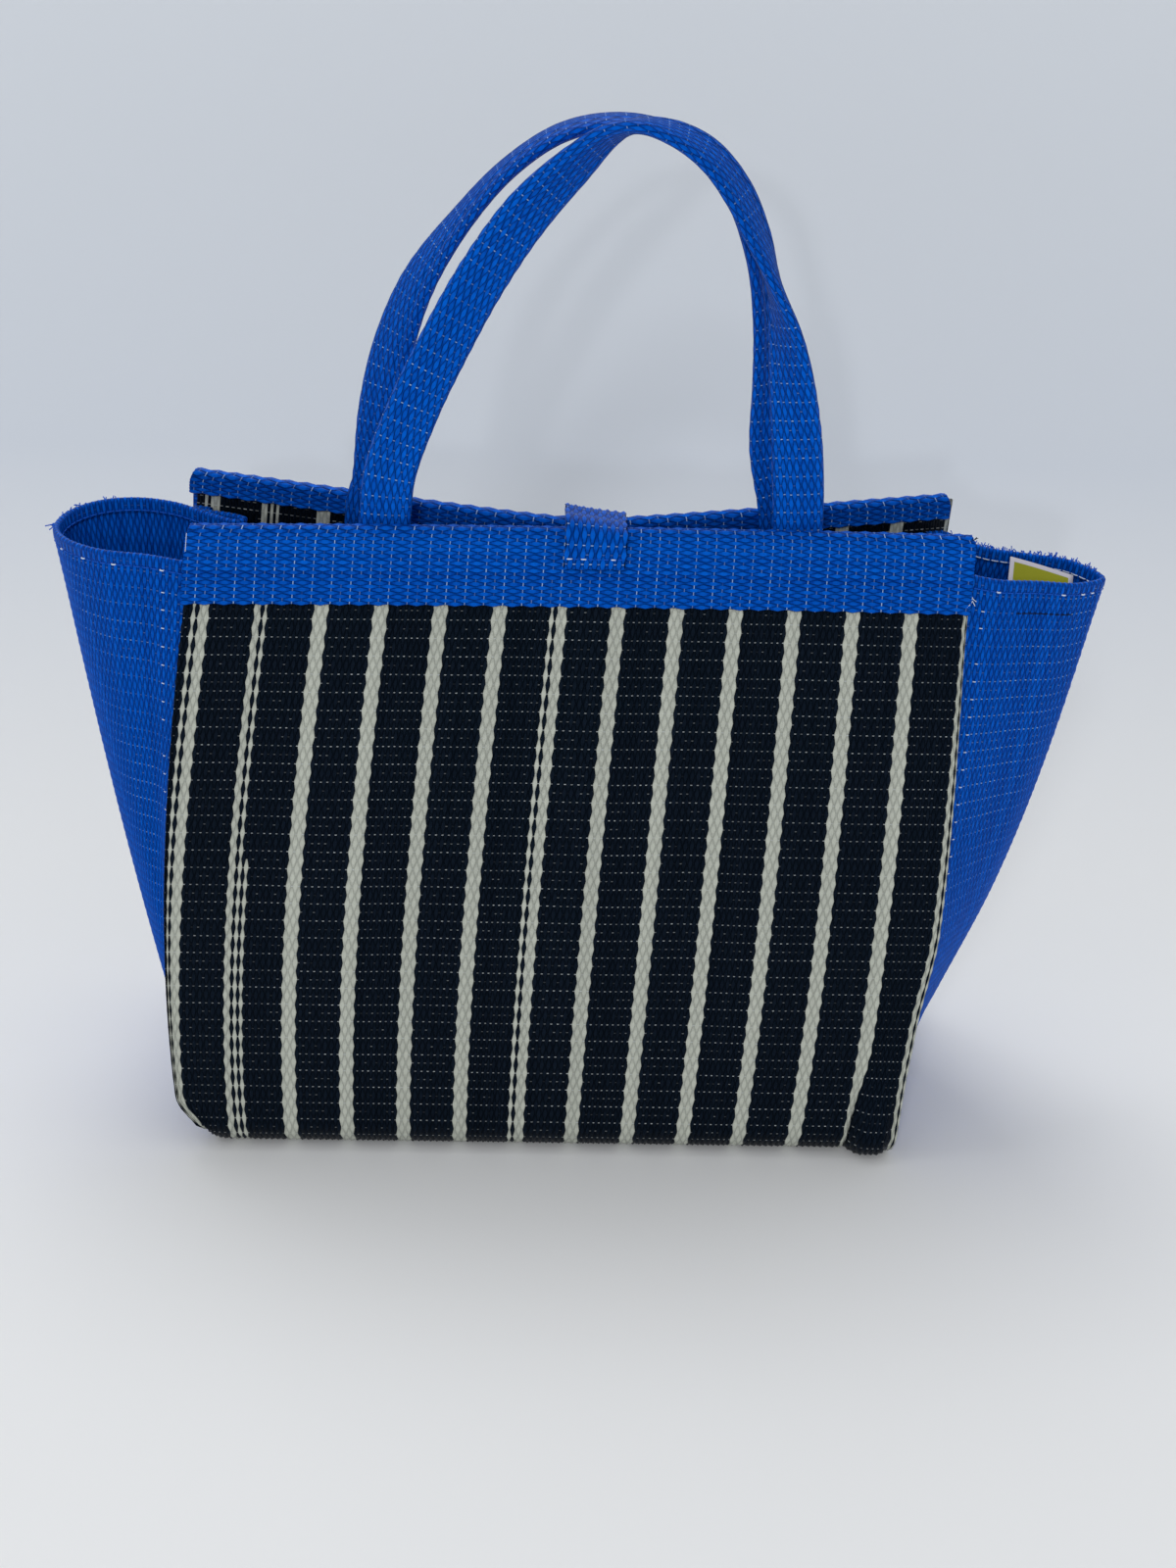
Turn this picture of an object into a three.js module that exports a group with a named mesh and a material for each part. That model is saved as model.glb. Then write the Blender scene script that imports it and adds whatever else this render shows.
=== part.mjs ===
import * as THREE from 'three';

// A small tote bag of woven plastic cloth, standing on its base with its two handles up.
// Millimetres, +Z up. The origin is the centre of the base, +X runs to the right along the
// front panel and +Y runs from the front panel to the back panel.

// Cloth: one layer of plain weave, ribbed along its strands.
const clothThickness = 1.0;
const ribHeight = 0.3;
const layerGap = 0.3;
const seamClearance = 0.95;

// Body: one striped strip that runs down the front, under the base and up the back.
const rimHeight = 218;
const baseDepth = 120;
const baseHalfWidth = 122.5;
const rimHalfWidth = 128;
const sideSwell = 5.5;
const swellPower = 0.75;
const rimShiftX = 8;
const shiftPower = 1.6;
const bendRadius = 9;
const frontRimY = -23;
const frontRimTurn = 3.5;
const frontRimBow = 2.5;
const backLeftRimY = 31;
const backRightRimY = 22;
const backDipY = -13.5;
const backDipAcross = 0.035;
const backDipRounding = 0.11;
const backRimExtra = 3;
const backRimShiftX = -3;

// Stripes: pale stripes woven in between dark ones, each a raised rib.
const stripePitch = 19.44;
const paleStripeWidth = 4.4;
const firstStripeInset = 5.5;
const grooveWidth = 1.0;
const widestFacet = 12;

// Bands: a strip of cloth folded over each rim, longer outside than inside.
const bandOuterDepth = 24;
const bandInnerDepth = 10.5;
const bandRibPitch = 9;

// Gussets: the side pieces, which fold outwards as two wings.
const seamAllowance = 7;
const cornerInset = 0.9;
const hemDepth = 7;
const hemEnd = 0.55;
const hemFade = 0.08;
const gussetRibPitch = 9;
const leftWingBulge = -1.5;
const rightWingBulge = 7.5;

// Handles: flat straps with rounded edges, sewn inside the bands.
const handleWidth = 17;
const handleThickness = 4;
const handleRibDepth = 0.35;
const footDepth = 24;
const handleSpan = 136;
const frontHandleX = 11.5;
const frontHandleRise = 129;
const frontCrownY = -14;
const backHandleX = 6.5;
const backHandleRise = 127;
const backCrownY = 4.5;

// Closure: a tab from the back rim over the front rim, held by a hook-and-loop patch.
const tabWidth = 20;
const tabThickness = 2;
const tabCentreX = 12.5;
const tabFrontDepth = 10.5;
const tabBackDepth = 22;
const tabCrownHeight = 5;
const patchThickness = 1;
const patchWidth = 15;
const patchDepth = 8;

// Label: a plain woven flag sewn inside the right wing.
const labelWidth = 24;
const labelHeight = 17;
const labelThickness = 0.5;
const labelDrop = 8;
const labelLean = 0.85;
const labelPlace = 0.36;
const labelTilt = 12;
const labelStandOff = 2.1;

const { clamp, lerp, smoothstep } = THREE.MathUtils;
const baseMid = clothThickness / 2;
const bendTop = baseMid + bendRadius;
const paleHalf = paleStripeWidth / 2;

// Shape of the body

function swell(share) {
  return Math.sin(Math.PI * Math.pow(share, swellPower));
}

function heightShare(z) {
  return clamp(z / rimHeight, 0, 1);
}

function halfWidth(z) {
  const share = heightShare(z);
  return lerp(baseHalfWidth, rimHalfWidth, share) + sideSwell * swell(share);
}

function centreX(z) {
  return rimShiftX * Math.pow(heightShare(z), shiftPower);
}

// The back panel spreads a little wider than the front one towards its rim.
function wallSpread(side, z) {
  const backShare = side > 0 ? heightShare(z) : 0;
  return {
    middle: centreX(z) + backRimShiftX * backShare,
    half: halfWidth(z) + backRimExtra * backShare,
  };
}

function panelX(side, across, z) {
  const { middle, half } = wallSpread(side, z);
  return middle + across * half;
}

function acrossAt(side, x, z) {
  const { middle, half } = wallSpread(side, z);
  return (x - middle) / half;
}

function frontY(across, z) {
  const rimY = frontRimY + frontRimTurn * across - frontRimBow * across * across;
  return lerp(-baseDepth / 2, rimY, heightShare(z));
}

function backY(across, z) {
  const fromDip = across - backDipAcross;
  const endY = fromDip < 0 ? backLeftRimY : backRightRimY;
  const reach = fromDip < 0 ? 1 + backDipAcross : 1 - backDipAcross;
  const rounded = (distance) => Math.hypot(distance, backDipRounding) - backDipRounding;
  const rimY = backDipY + (endY - backDipY) * rounded(fromDip / reach) / rounded(1);
  return lerp(baseDepth / 2, rimY, heightShare(z));
}

function wallY(side, across, z) {
  return side < 0 ? frontY(across, z) : backY(across, z);
}

// The strip's middle surface. along runs 0 to 1 down the front, 1 to 2 round the front bend,
// 2 to 3 under the base, 3 to 4 round the back bend and 4 to 5 up the back.
function stripPoint(across, along) {
  if (along <= 1) {
    const z = lerp(rimHeight, bendTop, along);
    return new THREE.Vector3(panelX(-1, across, z), frontY(across, z), z);
  }
  if (along >= 4) {
    const z = lerp(bendTop, rimHeight, along - 4);
    return new THREE.Vector3(panelX(1, across, z), backY(across, z), z);
  }
  const frontBendY = frontY(across, bendTop) + bendRadius;
  const backBendY = backY(across, bendTop) - bendRadius;
  if (along >= 2 && along <= 3) {
    const y = lerp(frontBendY, backBendY, along - 2);
    return new THREE.Vector3(panelX(-1, across, baseMid), y, baseMid);
  }
  const atFront = along < 2;
  const angle = (atFront ? along - 1 : 4 - along) * Math.PI / 2;
  const z = bendTop - bendRadius * Math.sin(angle);
  const reach = bendRadius * Math.cos(angle);
  const y = atFront ? frontBendY - reach : backBendY + reach;
  return new THREE.Vector3(panelX(atFront ? -1 : 1, across, z), y, z);
}

// Normal of a surface pointAt(column, row): rows crossed with columns.
function normalAt(pointAt, column, row) {
  const step = 1e-4;
  const alongRow = pointAt(column, row + step).sub(pointAt(column, row - step));
  const alongColumn = pointAt(column + step, row).sub(pointAt(column - step, row));
  return alongRow.cross(alongColumn).normalize();
}

function offsetPoint(pointAt, column, row, distance, upright = false) {
  const normal = normalAt(pointAt, column, row);
  if (upright) {
    normal.setZ(0).normalize();
  }
  return pointAt(column, row).addScaledVector(normal, distance);
}

// A point of the front or back wall at a height, moved out of the bag by a distance.
function wallPoint(side, across, z, distance) {
  const share = (rimHeight - z) / (rimHeight - bendTop);
  const along = side < 0 ? share : 5 - share;
  return offsetPoint(stripPoint, across, along, distance);
}

// Builders

function geometryFrom(points, triangles) {
  const geometry = new THREE.BufferGeometry();
  const positions = new Float32Array(points.flatMap((point) => point.toArray()));
  geometry.setAttribute('position', new THREE.BufferAttribute(positions, 3));
  geometry.setIndex(triangles.flat());
  geometry.computeVertexNormals();
  return geometry;
}

// Joins two lines of points with triangles. Each line is a list of { index, place } in step.
function zip(outer, inner) {
  const triangles = [];
  let i = 0;
  let j = 0;
  while (i < outer.length - 1 || j < inner.length - 1) {
    const outerNext = i < outer.length - 1 ? outer[i + 1].place : Infinity;
    const innerNext = j < inner.length - 1 ? inner[j + 1].place : Infinity;
    if (outerNext <= innerNext) {
      triangles.push([outer[i + 1].index, outer[i].index, inner[j].index]);
      i += 1;
    } else {
      triangles.push([outer[i].index, inner[j].index, inner[j + 1].index]);
      j += 1;
    }
  }
  return triangles;
}

// A sheet of cloth as a closed solid: a fine outer face, a plain inner face and four edges.
// An upright sheet has its thickness measured level.
function sheetSolid({ pointAt, outerColumns, innerColumns, rows, outerOffset, innerOffset, upright }) {
  const points = [];
  const triangles = [];
  const addFace = (columns, offset, sign) => {
    const start = points.length;
    for (const row of rows) {
      for (const column of columns) {
        points.push(offsetPoint(pointAt, column, row, sign * offset(column, row), upright));
      }
    }
    const indexAt = (row, column) => start + row * columns.length + column;
    for (let row = 0; row < rows.length - 1; row += 1) {
      for (let column = 0; column < columns.length - 1; column += 1) {
        const a = indexAt(row, column);
        const b = indexAt(row + 1, column);
        const c = indexAt(row + 1, column + 1);
        const d = indexAt(row, column + 1);
        triangles.push(...(sign > 0 ? [[a, b, d], [b, c, d]] : [[a, d, b], [b, d, c]]));
      }
    }
    const lastRow = rows.length - 1;
    const lastColumn = columns.length - 1;
    const columnEdge = (column) => rows.map((place, row) => ({ index: indexAt(row, column), place }));
    const rowEdge = (row) => columns.map((place, column) => ({ index: indexAt(row, column), place }));
    const reversed = (edge) => edge.map(({ index, place }) => ({ index, place: -place })).reverse();
    return [columnEdge(0), rowEdge(lastRow), reversed(columnEdge(lastColumn)), reversed(rowEdge(0))];
  };
  const outerEdges = addFace(outerColumns, outerOffset, 1);
  const innerEdges = addFace(innerColumns, innerOffset, -1);
  outerEdges.forEach((edge, side) => triangles.push(...zip(edge, innerEdges[side])));
  return geometryFrom(points, triangles);
}

// Even places from first to last, both included.
function evenPlaces(first, last, count) {
  return Array.from({ length: count + 1 }, (_, place) => lerp(first, last, place / count));
}

// Ribs side by side over a width: the places of their edges and a height for each place.
function ribLayout(ribs, width, groove) {
  const places = [];
  const heights = new Map();
  const add = (place, height) => {
    places.push(place);
    heights.set(place, height);
  };
  ribs.forEach(([start, end]) => {
    add(start, 0);
    add(start + groove / 2, ribHeight);
    if (end - start > widestFacet) {
      add((start + end) / 2, ribHeight);
    }
    add(end - groove / 2, ribHeight);
  });
  add(width, 0);
  return { places, heights };
}

function evenRibs(width, pitch) {
  const count = Math.max(1, Math.round(width / pitch));
  return Array.from({ length: count }, (_, rib) => [width * rib / count, width * (rib + 1) / count]);
}

// A strap swept along a route of { point, twist }, with a ribbed section that has round edges.
function strapSolid(stations) {
  const points = [];
  const triangles = [];
  const section = strapSection();
  const route = new THREE.CatmullRomCurve3(stations.map(({ point }) => point));
  const turn = new THREE.CatmullRomCurve3(stations.map(({ twist }) => new THREE.Vector3(twist, 0, 0)));
  const steps = Math.round((stations.length - 1) * 1.5);
  for (let step = 0; step <= steps; step += 1) {
    const share = step / steps;
    const tangent = route.getTangent(share);
    const outwards = new THREE.Vector3(0, -1, 0).projectOnPlane(tangent).normalize();
    const inwards = tangent.clone().cross(outwards);
    const twist = THREE.MathUtils.degToRad(turn.getPoint(share).x);
    const face = outwards.clone().multiplyScalar(Math.cos(twist));
    face.addScaledVector(inwards, Math.sin(twist));
    const widthways = face.clone().cross(tangent);
    for (const [wide, thick] of section) {
      const point = route.getPoint(share).addScaledVector(widthways, wide);
      points.push(point.addScaledVector(face, thick));
    }
  }
  const size = section.length;
  for (let step = 0; step < steps; step += 1) {
    for (let place = 0; place < size; place += 1) {
      const a = step * size + place;
      const b = step * size + (place + 1) % size;
      triangles.push([a, b, b + size], [a, b + size, a + size]);
    }
  }
  for (const [ring, flip] of [[0, true], [steps, false]]) {
    const outline = section.map(([wide, thick]) => new THREE.Vector2(wide, thick));
    for (const [a, b, c] of THREE.ShapeUtils.triangulateShape(outline, [])) {
      const corners = [a, b, c].map((corner) => corner + ring * size);
      triangles.push(flip ? corners.reverse() : corners);
    }
  }
  return geometryFrom(points, triangles);
}

// Half of the section's outline from edge to edge, then the same turned over.
function strapSection() {
  const ribEdges = [-0.84, -0.38, -0.28, 0.28, 0.38, 0.84];
  const grooves = [-0.33, 0.33];
  const places = [...ribEdges, ...grooves].sort((a, b) => a - b);
  const upper = [[-1, 0]];
  for (const place of places) {
    const dome = Math.pow(1 - Math.pow(Math.abs(place), 3), 0.4);
    const depth = grooves.includes(place) ? handleRibDepth : 0;
    upper.push([place, dome - depth / (handleThickness / 2)]);
  }
  const lower = upper.map(([place, height]) => [-place, -height]);
  return [...upper, ...lower].map(([place, height]) => [
    place * handleWidth / 2,
    height * handleThickness / 2,
  ]).reverse();
}

// Striped strip

const wallLevels = [...evenPlaces(bendTop, rimHeight - bandOuterDepth, 3), rimHeight];

const clothWidth = 2 * rimHalfWidth;
const dipReach = 0.26;
const wallColumns = [
  ...evenPlaces(-1, backDipAcross - dipReach, 4),
  ...evenPlaces(backDipAcross - dipReach, backDipAcross + dipReach, 10).slice(1, -1),
  ...evenPlaces(backDipAcross + dipReach, 1, 4),
];

function stripeRibs() {
  const ribs = [];
  let edge = 0;
  for (let middle = firstStripeInset; middle < clothWidth; middle += stripePitch) {
    const paleStart = middle - paleHalf;
    const paleEnd = Math.min(middle + paleHalf, clothWidth);
    ribs.push([edge, paleStart], [paleStart, paleEnd]);
    edge = paleEnd;
  }
  if (clothWidth - edge > grooveWidth) {
    ribs.push([edge, clothWidth]);
  }
  return ribs;
}

function bodyStrip() {
  const layout = ribLayout(stripeRibs(), clothWidth, grooveWidth);
  const toAcross = (place) => 2 * place / clothWidth - 1;
  const heights = new Map([...layout.heights].map(([place, height]) => [toAcross(place), height]));
  const ribFade = (along) => clamp(Math.abs(along - 2.5) - 0.5, 0, 1);
  const frontRows = wallLevels.map((z) => (rimHeight - z) / (rimHeight - bendTop)).reverse();
  const rows = [
    ...frontRows,
    ...evenPlaces(1, 2, 3).slice(1),
    ...evenPlaces(3, 4, 3).slice(0, -1),
    ...frontRows.map((row) => 5 - row).reverse(),
  ];
  return sheetSolid({
    pointAt: stripPoint,
    outerColumns: layout.places.map(toAcross),
    innerColumns: wallColumns,
    rows,
    outerOffset: (across, along) => clothThickness / 2 + heights.get(across) * ribFade(along),
    innerOffset: () => clothThickness / 2,
  });
}

// Bands

const bandOutside = clothThickness + ribHeight + layerGap;
const bandInside = clothThickness + layerGap;
const bandTurn = (bandOutside + bandInside) / 2;
const bandTurnLength = Math.PI * bandTurn;
const bandLength = bandInnerDepth + bandTurnLength + bandOuterDepth;

// A point of a band's middle surface, measured round its fold from the inner edge.
function bandPoint(side, across, around) {
  if (around <= bandInnerDepth) {
    return wallPoint(side, across, rimHeight - bandInnerDepth + around, -bandInside);
  }
  const down = around - bandInnerDepth - bandTurnLength;
  if (down >= 0) {
    return wallPoint(side, across, rimHeight - down, bandOutside);
  }
  const angle = -down / bandTurn;
  const rim = wallPoint(side, across, rimHeight, 0);
  const outwards = wallPoint(side, across, rimHeight, 1).sub(rim);
  const upwards = rim.clone().sub(wallPoint(side, across, rimHeight - 1, 0)).normalize();
  const outReach = (bandOutside - bandInside) / 2 + bandTurn * Math.cos(angle);
  return rim.addScaledVector(outwards, outReach).addScaledVector(upwards, bandTurn * Math.sin(angle));
}

function band(side) {
  const innerRibs = evenRibs(bandInnerDepth, bandRibPitch);
  const outerStart = bandInnerDepth + bandTurnLength;
  const outerRibs = evenRibs(bandOuterDepth, bandRibPitch);
  const turnRib = [[bandInnerDepth, outerStart]];
  const ribs = [...innerRibs, ...turnRib, ...outerRibs.map(([a, b]) => [a + outerStart, b + outerStart])];
  const layout = ribLayout(ribs, bandLength, grooveWidth);
  const turnPlaces = evenPlaces(bandInnerDepth, outerStart, 4).slice(1, -1);
  const places = [...layout.places, ...turnPlaces].sort((a, b) => a - b);
  const height = (around) => layout.heights.get(around) ?? ribHeight;
  const order = side < 0 ? 1 : -1;
  const rows = side < 0 ? places : places.map((place) => -place).reverse();
  return sheetSolid({
    pointAt: (across, row) => bandPoint(side, across, order * row),
    outerColumns: wallColumns,
    innerColumns: wallColumns,
    rows,
    outerOffset: (across, row) => clothThickness / 2 + height(order * row),
    innerOffset: () => clothThickness / 2,
  });
}

// Gussets

const gussetBottom = clothThickness + layerGap;
const gussetOffset = clothThickness + seamClearance;
const seamTop = rimHeight - bandInnerDepth - 2 * layerGap;

// How far back a gusset seam lies behind the front wall, or in front of the back wall.
function seamY(side, across, z) {
  if (z >= bendTop) {
    return wallY(side, across, z) - side * gussetOffset;
  }
  const middleY = wallY(side, across, bendTop) - side * bendRadius;
  const squared = (bendRadius - gussetOffset) ** 2 - (bendTop - z) ** 2;
  return middleY + side * Math.sqrt(Math.max(0, squared));
}

// Rim outlines from the front seam to the back seam. Each row is how far the middle of the cloth
// lies out from the panels' rim, its y, how far it rises above the seams, and the share of the
// wing's bulge that it takes lower down.
const leftRim = [
  [14, -25.5, 1, 0.5],
  [30.5, -20, 0.5, 0.8],
  [44, -8, 0, 1],
  [49.5, 5, 0, 1],
  [47, 18, 1, 1],
  [38, 27, 2, 0.9],
  [25.5, 31, 2, 0.8],
  [12.5, 28.5, 1.5, 0.6],
  [1, 22, 0.5, 0.3],
  [-10.5, 15.5, 0, 0],
  [-12.5, 18, 0, 0],
  [-7, 22, 0, 0],
  [3.5, 26, 0, 0.1],
];
const rightRim = [
  [11, -21, -2.5, 0.6],
  [26, -16, -4.5, 0.8],
  [41, -10, -7, 1],
  [51.5, -1, -7.5, 1],
  [42, 9.5, -5.5, 1],
  [28, 14, -5, 0.8],
  [13, 17.5, -4, 0.6],
];
const leftGusset = { side: -1, rim: leftRim, bulge: leftWingBulge };
const rightGusset = { side: 1, rim: rightRim, bulge: rightWingBulge };

// The line of a gusset at a share of its height, from the front seam to the back seam.
function gussetLine(gusset, share) {
  const seamEnds = (wall) => {
    const z = lerp(gussetBottom, seamTop, share);
    return [seamAllowance, seamAllowance / 2, cornerInset * 2, cornerInset].map((inset) => {
      const x = panelX(wall, gusset.side, z) - gusset.side * inset;
      return new THREE.Vector3(x, seamY(wall, acrossAt(wall, x, z), z), z);
    });
  };
  const baseX = gusset.side * (baseHalfWidth - cornerInset);
  const baseFrontY = seamY(-1, gusset.side, gussetBottom);
  const baseBackY = seamY(1, gusset.side, gussetBottom);
  const middle = gusset.rim.map(([outwards, y, rise, bulgeShare], place) => {
    const x = rimShiftX + gusset.side * (rimHalfWidth + outwards);
    const z = seamTop + rise;
    const baseY = lerp(baseFrontY, baseBackY, (place + 1) / (gusset.rim.length + 1));
    const bulge = (sideSwell + gusset.bulge * bulgeShare) * swell(share);
    const across = lerp(baseX, x, share) + gusset.side * bulge;
    return new THREE.Vector3(across, lerp(baseY, y, share), lerp(gussetBottom, z, share));
  });
  return new THREE.CatmullRomCurve3([...seamEnds(-1), ...middle, ...seamEnds(1).reverse()]);
}

const lineCache = new Map();

function gussetPoint(gusset, place, share) {
  const key = `${gusset.side} ${share}`;
  if (!lineCache.has(key)) {
    lineCache.set(key, gussetLine(gusset, clamp(share, 0, 1)));
  }
  return lineCache.get(key).getPoint(clamp(place, 0, 1));
}

function gussetSolid(gusset) {
  const flip = gusset.side > 0 ? 1 : -1;
  const hemTop = seamTop - hemDepth;
  const levels = [...evenPlaces(gussetBottom, bendTop, 3).slice(0, -1), ...wallLevels.slice(0, -1)];
  const hemEdge = [hemTop - clothThickness, hemTop, seamTop];
  const toShare = (z) => (z - gussetBottom) / (seamTop - gussetBottom);
  const shares = [...levels, ...hemEdge].map(toShare);
  const hemShare = toShare(hemTop);
  const girth = gussetLine(gusset, 1).getLength();
  const ribCount = Math.round(girth / gussetRibPitch);
  const outer = evenPlaces(0, 1, ribCount * 2);
  const ribAt = (place) => (Math.round(place * ribCount * 2) % 2 === 1 ? ribHeight : 0);
  const inWing = (place) => smoothstep(place, 0, hemFade)
    * (1 - smoothstep(place, hemEnd, hemEnd + hemFade));
  return sheetSolid({
    upright: true,
    pointAt: (column, row) => gussetPoint(gusset, flip * column, -row),
    outerColumns: flip > 0 ? outer : outer.map((place) => -place).reverse(),
    innerColumns: flip > 0 ? outer : outer.map((place) => -place).reverse(),
    rows: shares.map((share) => -share).reverse(),
    outerOffset: (column) => clothThickness / 2 + ribAt(flip * column),
    innerOffset: (column, row) => clothThickness / 2 * (-row >= hemShare ? 1 + 2 * inWing(flip * column) : 1),
  });
}

// Handles. Each row is a place across the span from -1 to 1, a share of the rise and the turn of
// the strap's face, in degrees, towards the inside of the arch.
const frontArch = [
  [-0.978, 0.135, 2],
  [-0.868, 0.3, 5],
  [-0.728, 0.457, 12],
  [-0.551, 0.63, 18],
  [-0.346, 0.787, 30],
  [-0.132, 0.905, 48],
  [0.022, 0.976, 68],
  [0.147, 1, 86],
  [0.316, 0.984, 97],
  [0.471, 0.929, 106],
  [0.61, 0.843, 108],
  [0.713, 0.732, 98],
  [0.787, 0.63, 76],
  [0.853, 0.512, 50],
  [0.912, 0.37, 32],
  [0.963, 0.205, 12],
];
const backArch = [
  [-0.995, 0.05, -17],
  [-0.963, 0.25, -24],
  [-0.89, 0.425, -38],
  [-0.757, 0.585, -48],
  [-0.566, 0.735, -63],
  [-0.346, 0.872, -76],
  [-0.11, 0.968, -86],
  [0.12, 1, -90],
  [0.34, 0.984, -90],
  [0.53, 0.925, -90],
  [0.69, 0.82, -86],
  [0.8, 0.68, -76],
  [0.875, 0.53, -58],
  [0.93, 0.37, -38],
  [0.97, 0.19, -22],
];
const footOffset = bandInside + clothThickness / 2 + ribHeight + seamClearance + handleThickness / 2;

function handle(wall, centre, rise, crownY, arch) {
  const foot = (side, z) => {
    const x = centre + side * handleSpan / 2;
    const across = acrossAt(wall, x, rimHeight);
    const point = wallPoint(wall, across, z, -footOffset);
    const face = wallPoint(wall, across, z, 0).sub(point).multiplyScalar(-wall);
    const twist = THREE.MathUtils.radToDeg(Math.atan2(-side * face.x, -face.y));
    return { point, twist };
  };
  const stations = arch.map(([across, up, twist]) => {
    const x = centre + across * handleSpan / 2;
    const footY = foot(Math.sign(across), rimHeight).point.y;
    return { point: new THREE.Vector3(x, lerp(footY, crownY, smoothstep(up, 0, 1)), rimHeight + up * rise), twist };
  });
  const footBottom = rimHeight - footDepth;
  return strapSolid([
    foot(-1, footBottom),
    foot(-1, rimHeight),
    ...stations,
    foot(1, rimHeight),
    foot(1, footBottom),
  ]);
}

// Closure

const bandFace = bandOutside + clothThickness / 2 + ribHeight;
const loopOffset = bandFace + layerGap + patchThickness / 2;
const hookOffset = loopOffset + patchThickness + layerGap;
const tabOffset = hookOffset + patchThickness / 2 + layerGap + tabThickness / 2;
const tabBackOffset = bandFace + seamClearance + tabThickness / 2;

function tabPath(x) {
  const front = acrossAt(-1, x, rimHeight);
  const back = acrossAt(1, x, rimHeight);
  const frontTop = wallPoint(-1, front, rimHeight, tabOffset);
  const backTop = wallPoint(1, back, rimHeight, tabBackOffset);
  const crownZ = rimHeight + tabCrownHeight;
  const crown = (share) => new THREE.Vector3(x, lerp(frontTop.y, backTop.y, share), crownZ);
  return new THREE.CatmullRomCurve3([
    wallPoint(-1, front, rimHeight - tabFrontDepth, tabOffset),
    wallPoint(-1, front, rimHeight - tabFrontDepth / 2, tabOffset),
    frontTop,
    crown(0.2),
    crown(0.55),
    crown(0.88),
    backTop,
    wallPoint(1, back, rimHeight - tabBackDepth / 2, tabBackOffset),
    wallPoint(1, back, rimHeight - tabBackDepth, tabBackOffset),
  ]);
}

function closureTab() {
  const ribs = ribLayout(evenRibs(tabWidth, tabWidth / 4), tabWidth, grooveWidth);
  const leftX = tabCentreX - tabWidth / 2;
  return sheetSolid({
    pointAt: (column, row) => tabPath(leftX + column).getPoint(clamp(1 - row, 0, 1)),
    outerColumns: ribs.places,
    innerColumns: evenPlaces(0, tabWidth, 4),
    rows: evenPlaces(0, 1, 12),
    outerOffset: (column) => tabThickness / 2 - ribHeight + ribs.heights.get(column),
    innerOffset: () => tabThickness / 2,
  });
}

function closurePatch(offset) {
  const top = rimHeight - (tabFrontDepth - patchDepth) / 2;
  const sides = [tabCentreX - patchWidth / 2, tabCentreX + patchWidth / 2];
  return sheetSolid({
    pointAt: (column, row) => wallPoint(-1, acrossAt(-1, column, rimHeight), top - row, offset),
    outerColumns: sides,
    innerColumns: sides,
    rows: [0, patchDepth],
    outerOffset: () => patchThickness / 2,
    innerOffset: () => patchThickness / 2,
  });
}

// Label: its lower edge is sewn to the near wall of the right wing and it leans to the far wall.
function label() {
  const share = 1 - labelDrop / seamTop;
  const first = gussetPoint(rightGusset, labelPlace, share);
  const along = gussetPoint(rightGusset, labelPlace + 0.03, share).sub(first).setZ(0).normalize();
  const wallFace = clothThickness * 1.5 + labelStandOff;
  const inwards = new THREE.Vector3(-along.y, along.x, 0);
  const middle = first.addScaledVector(inwards, wallFace);
  const upwards = new THREE.Vector3(0, 0, 1).addScaledVector(inwards, labelLean).normalize();
  const face = along.clone().cross(upwards);
  const tilt = THREE.MathUtils.degToRad(labelTilt);
  along.applyAxisAngle(face, -tilt);
  upwards.applyAxisAngle(face, -tilt);
  const start = middle.addScaledVector(along, -labelWidth / 2);
  return sheetSolid({
    pointAt: (column, row) => start.clone().addScaledVector(along, column).addScaledVector(upwards, labelHeight - row),
    outerColumns: [0, labelWidth],
    innerColumns: [0, labelWidth],
    rows: [0, labelHeight],
    outerOffset: () => labelThickness / 2,
    innerOffset: () => labelThickness / 2,
  });
}

// Assembly

const darkCloth = { color: 0x11151f, roughness: 0.55, metalness: 0 };
const blueCloth = { color: 0x0a55c8, roughness: 0.5, metalness: 0 };
const blackPile = { color: 0x1c1f26, roughness: 0.95, metalness: 0 };
const paleTape = { color: 0xe6e4d8, roughness: 0.7, metalness: 0 };

function piece(name, geometry, look) {
  const mesh = new THREE.Mesh(geometry, new THREE.MeshStandardMaterial(look));
  mesh.name = name;
  return mesh;
}

const bag = new THREE.Group();
bag.add(
  piece('body_strip', bodyStrip(), darkCloth),
  piece('left_gusset', gussetSolid(leftGusset), blueCloth),
  piece('right_gusset', gussetSolid(rightGusset), blueCloth),
  piece('front_band', band(-1), blueCloth),
  piece('back_band', band(1), blueCloth),
  piece('front_handle', handle(-1, frontHandleX, frontHandleRise, frontCrownY, frontArch), blueCloth),
  piece('back_handle', handle(1, backHandleX, backHandleRise, backCrownY, backArch), blueCloth),
  piece('closure_tab', closureTab(), blueCloth),
  piece('hook_patch', closurePatch(hookOffset), blackPile),
  piece('loop_patch', closurePatch(loopOffset), blackPile),
  piece('label', label(), paleTape),
);

export default bag;
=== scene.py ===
# A small tote bag of woven plastic cloth: a striped body, blue side wings, blue rim bands,
# two strap handles and a closing tab. Lengths are in millimetres until a mesh is made.
import math

import bpy
import numpy as np
from mathutils import Matrix, Vector


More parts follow.
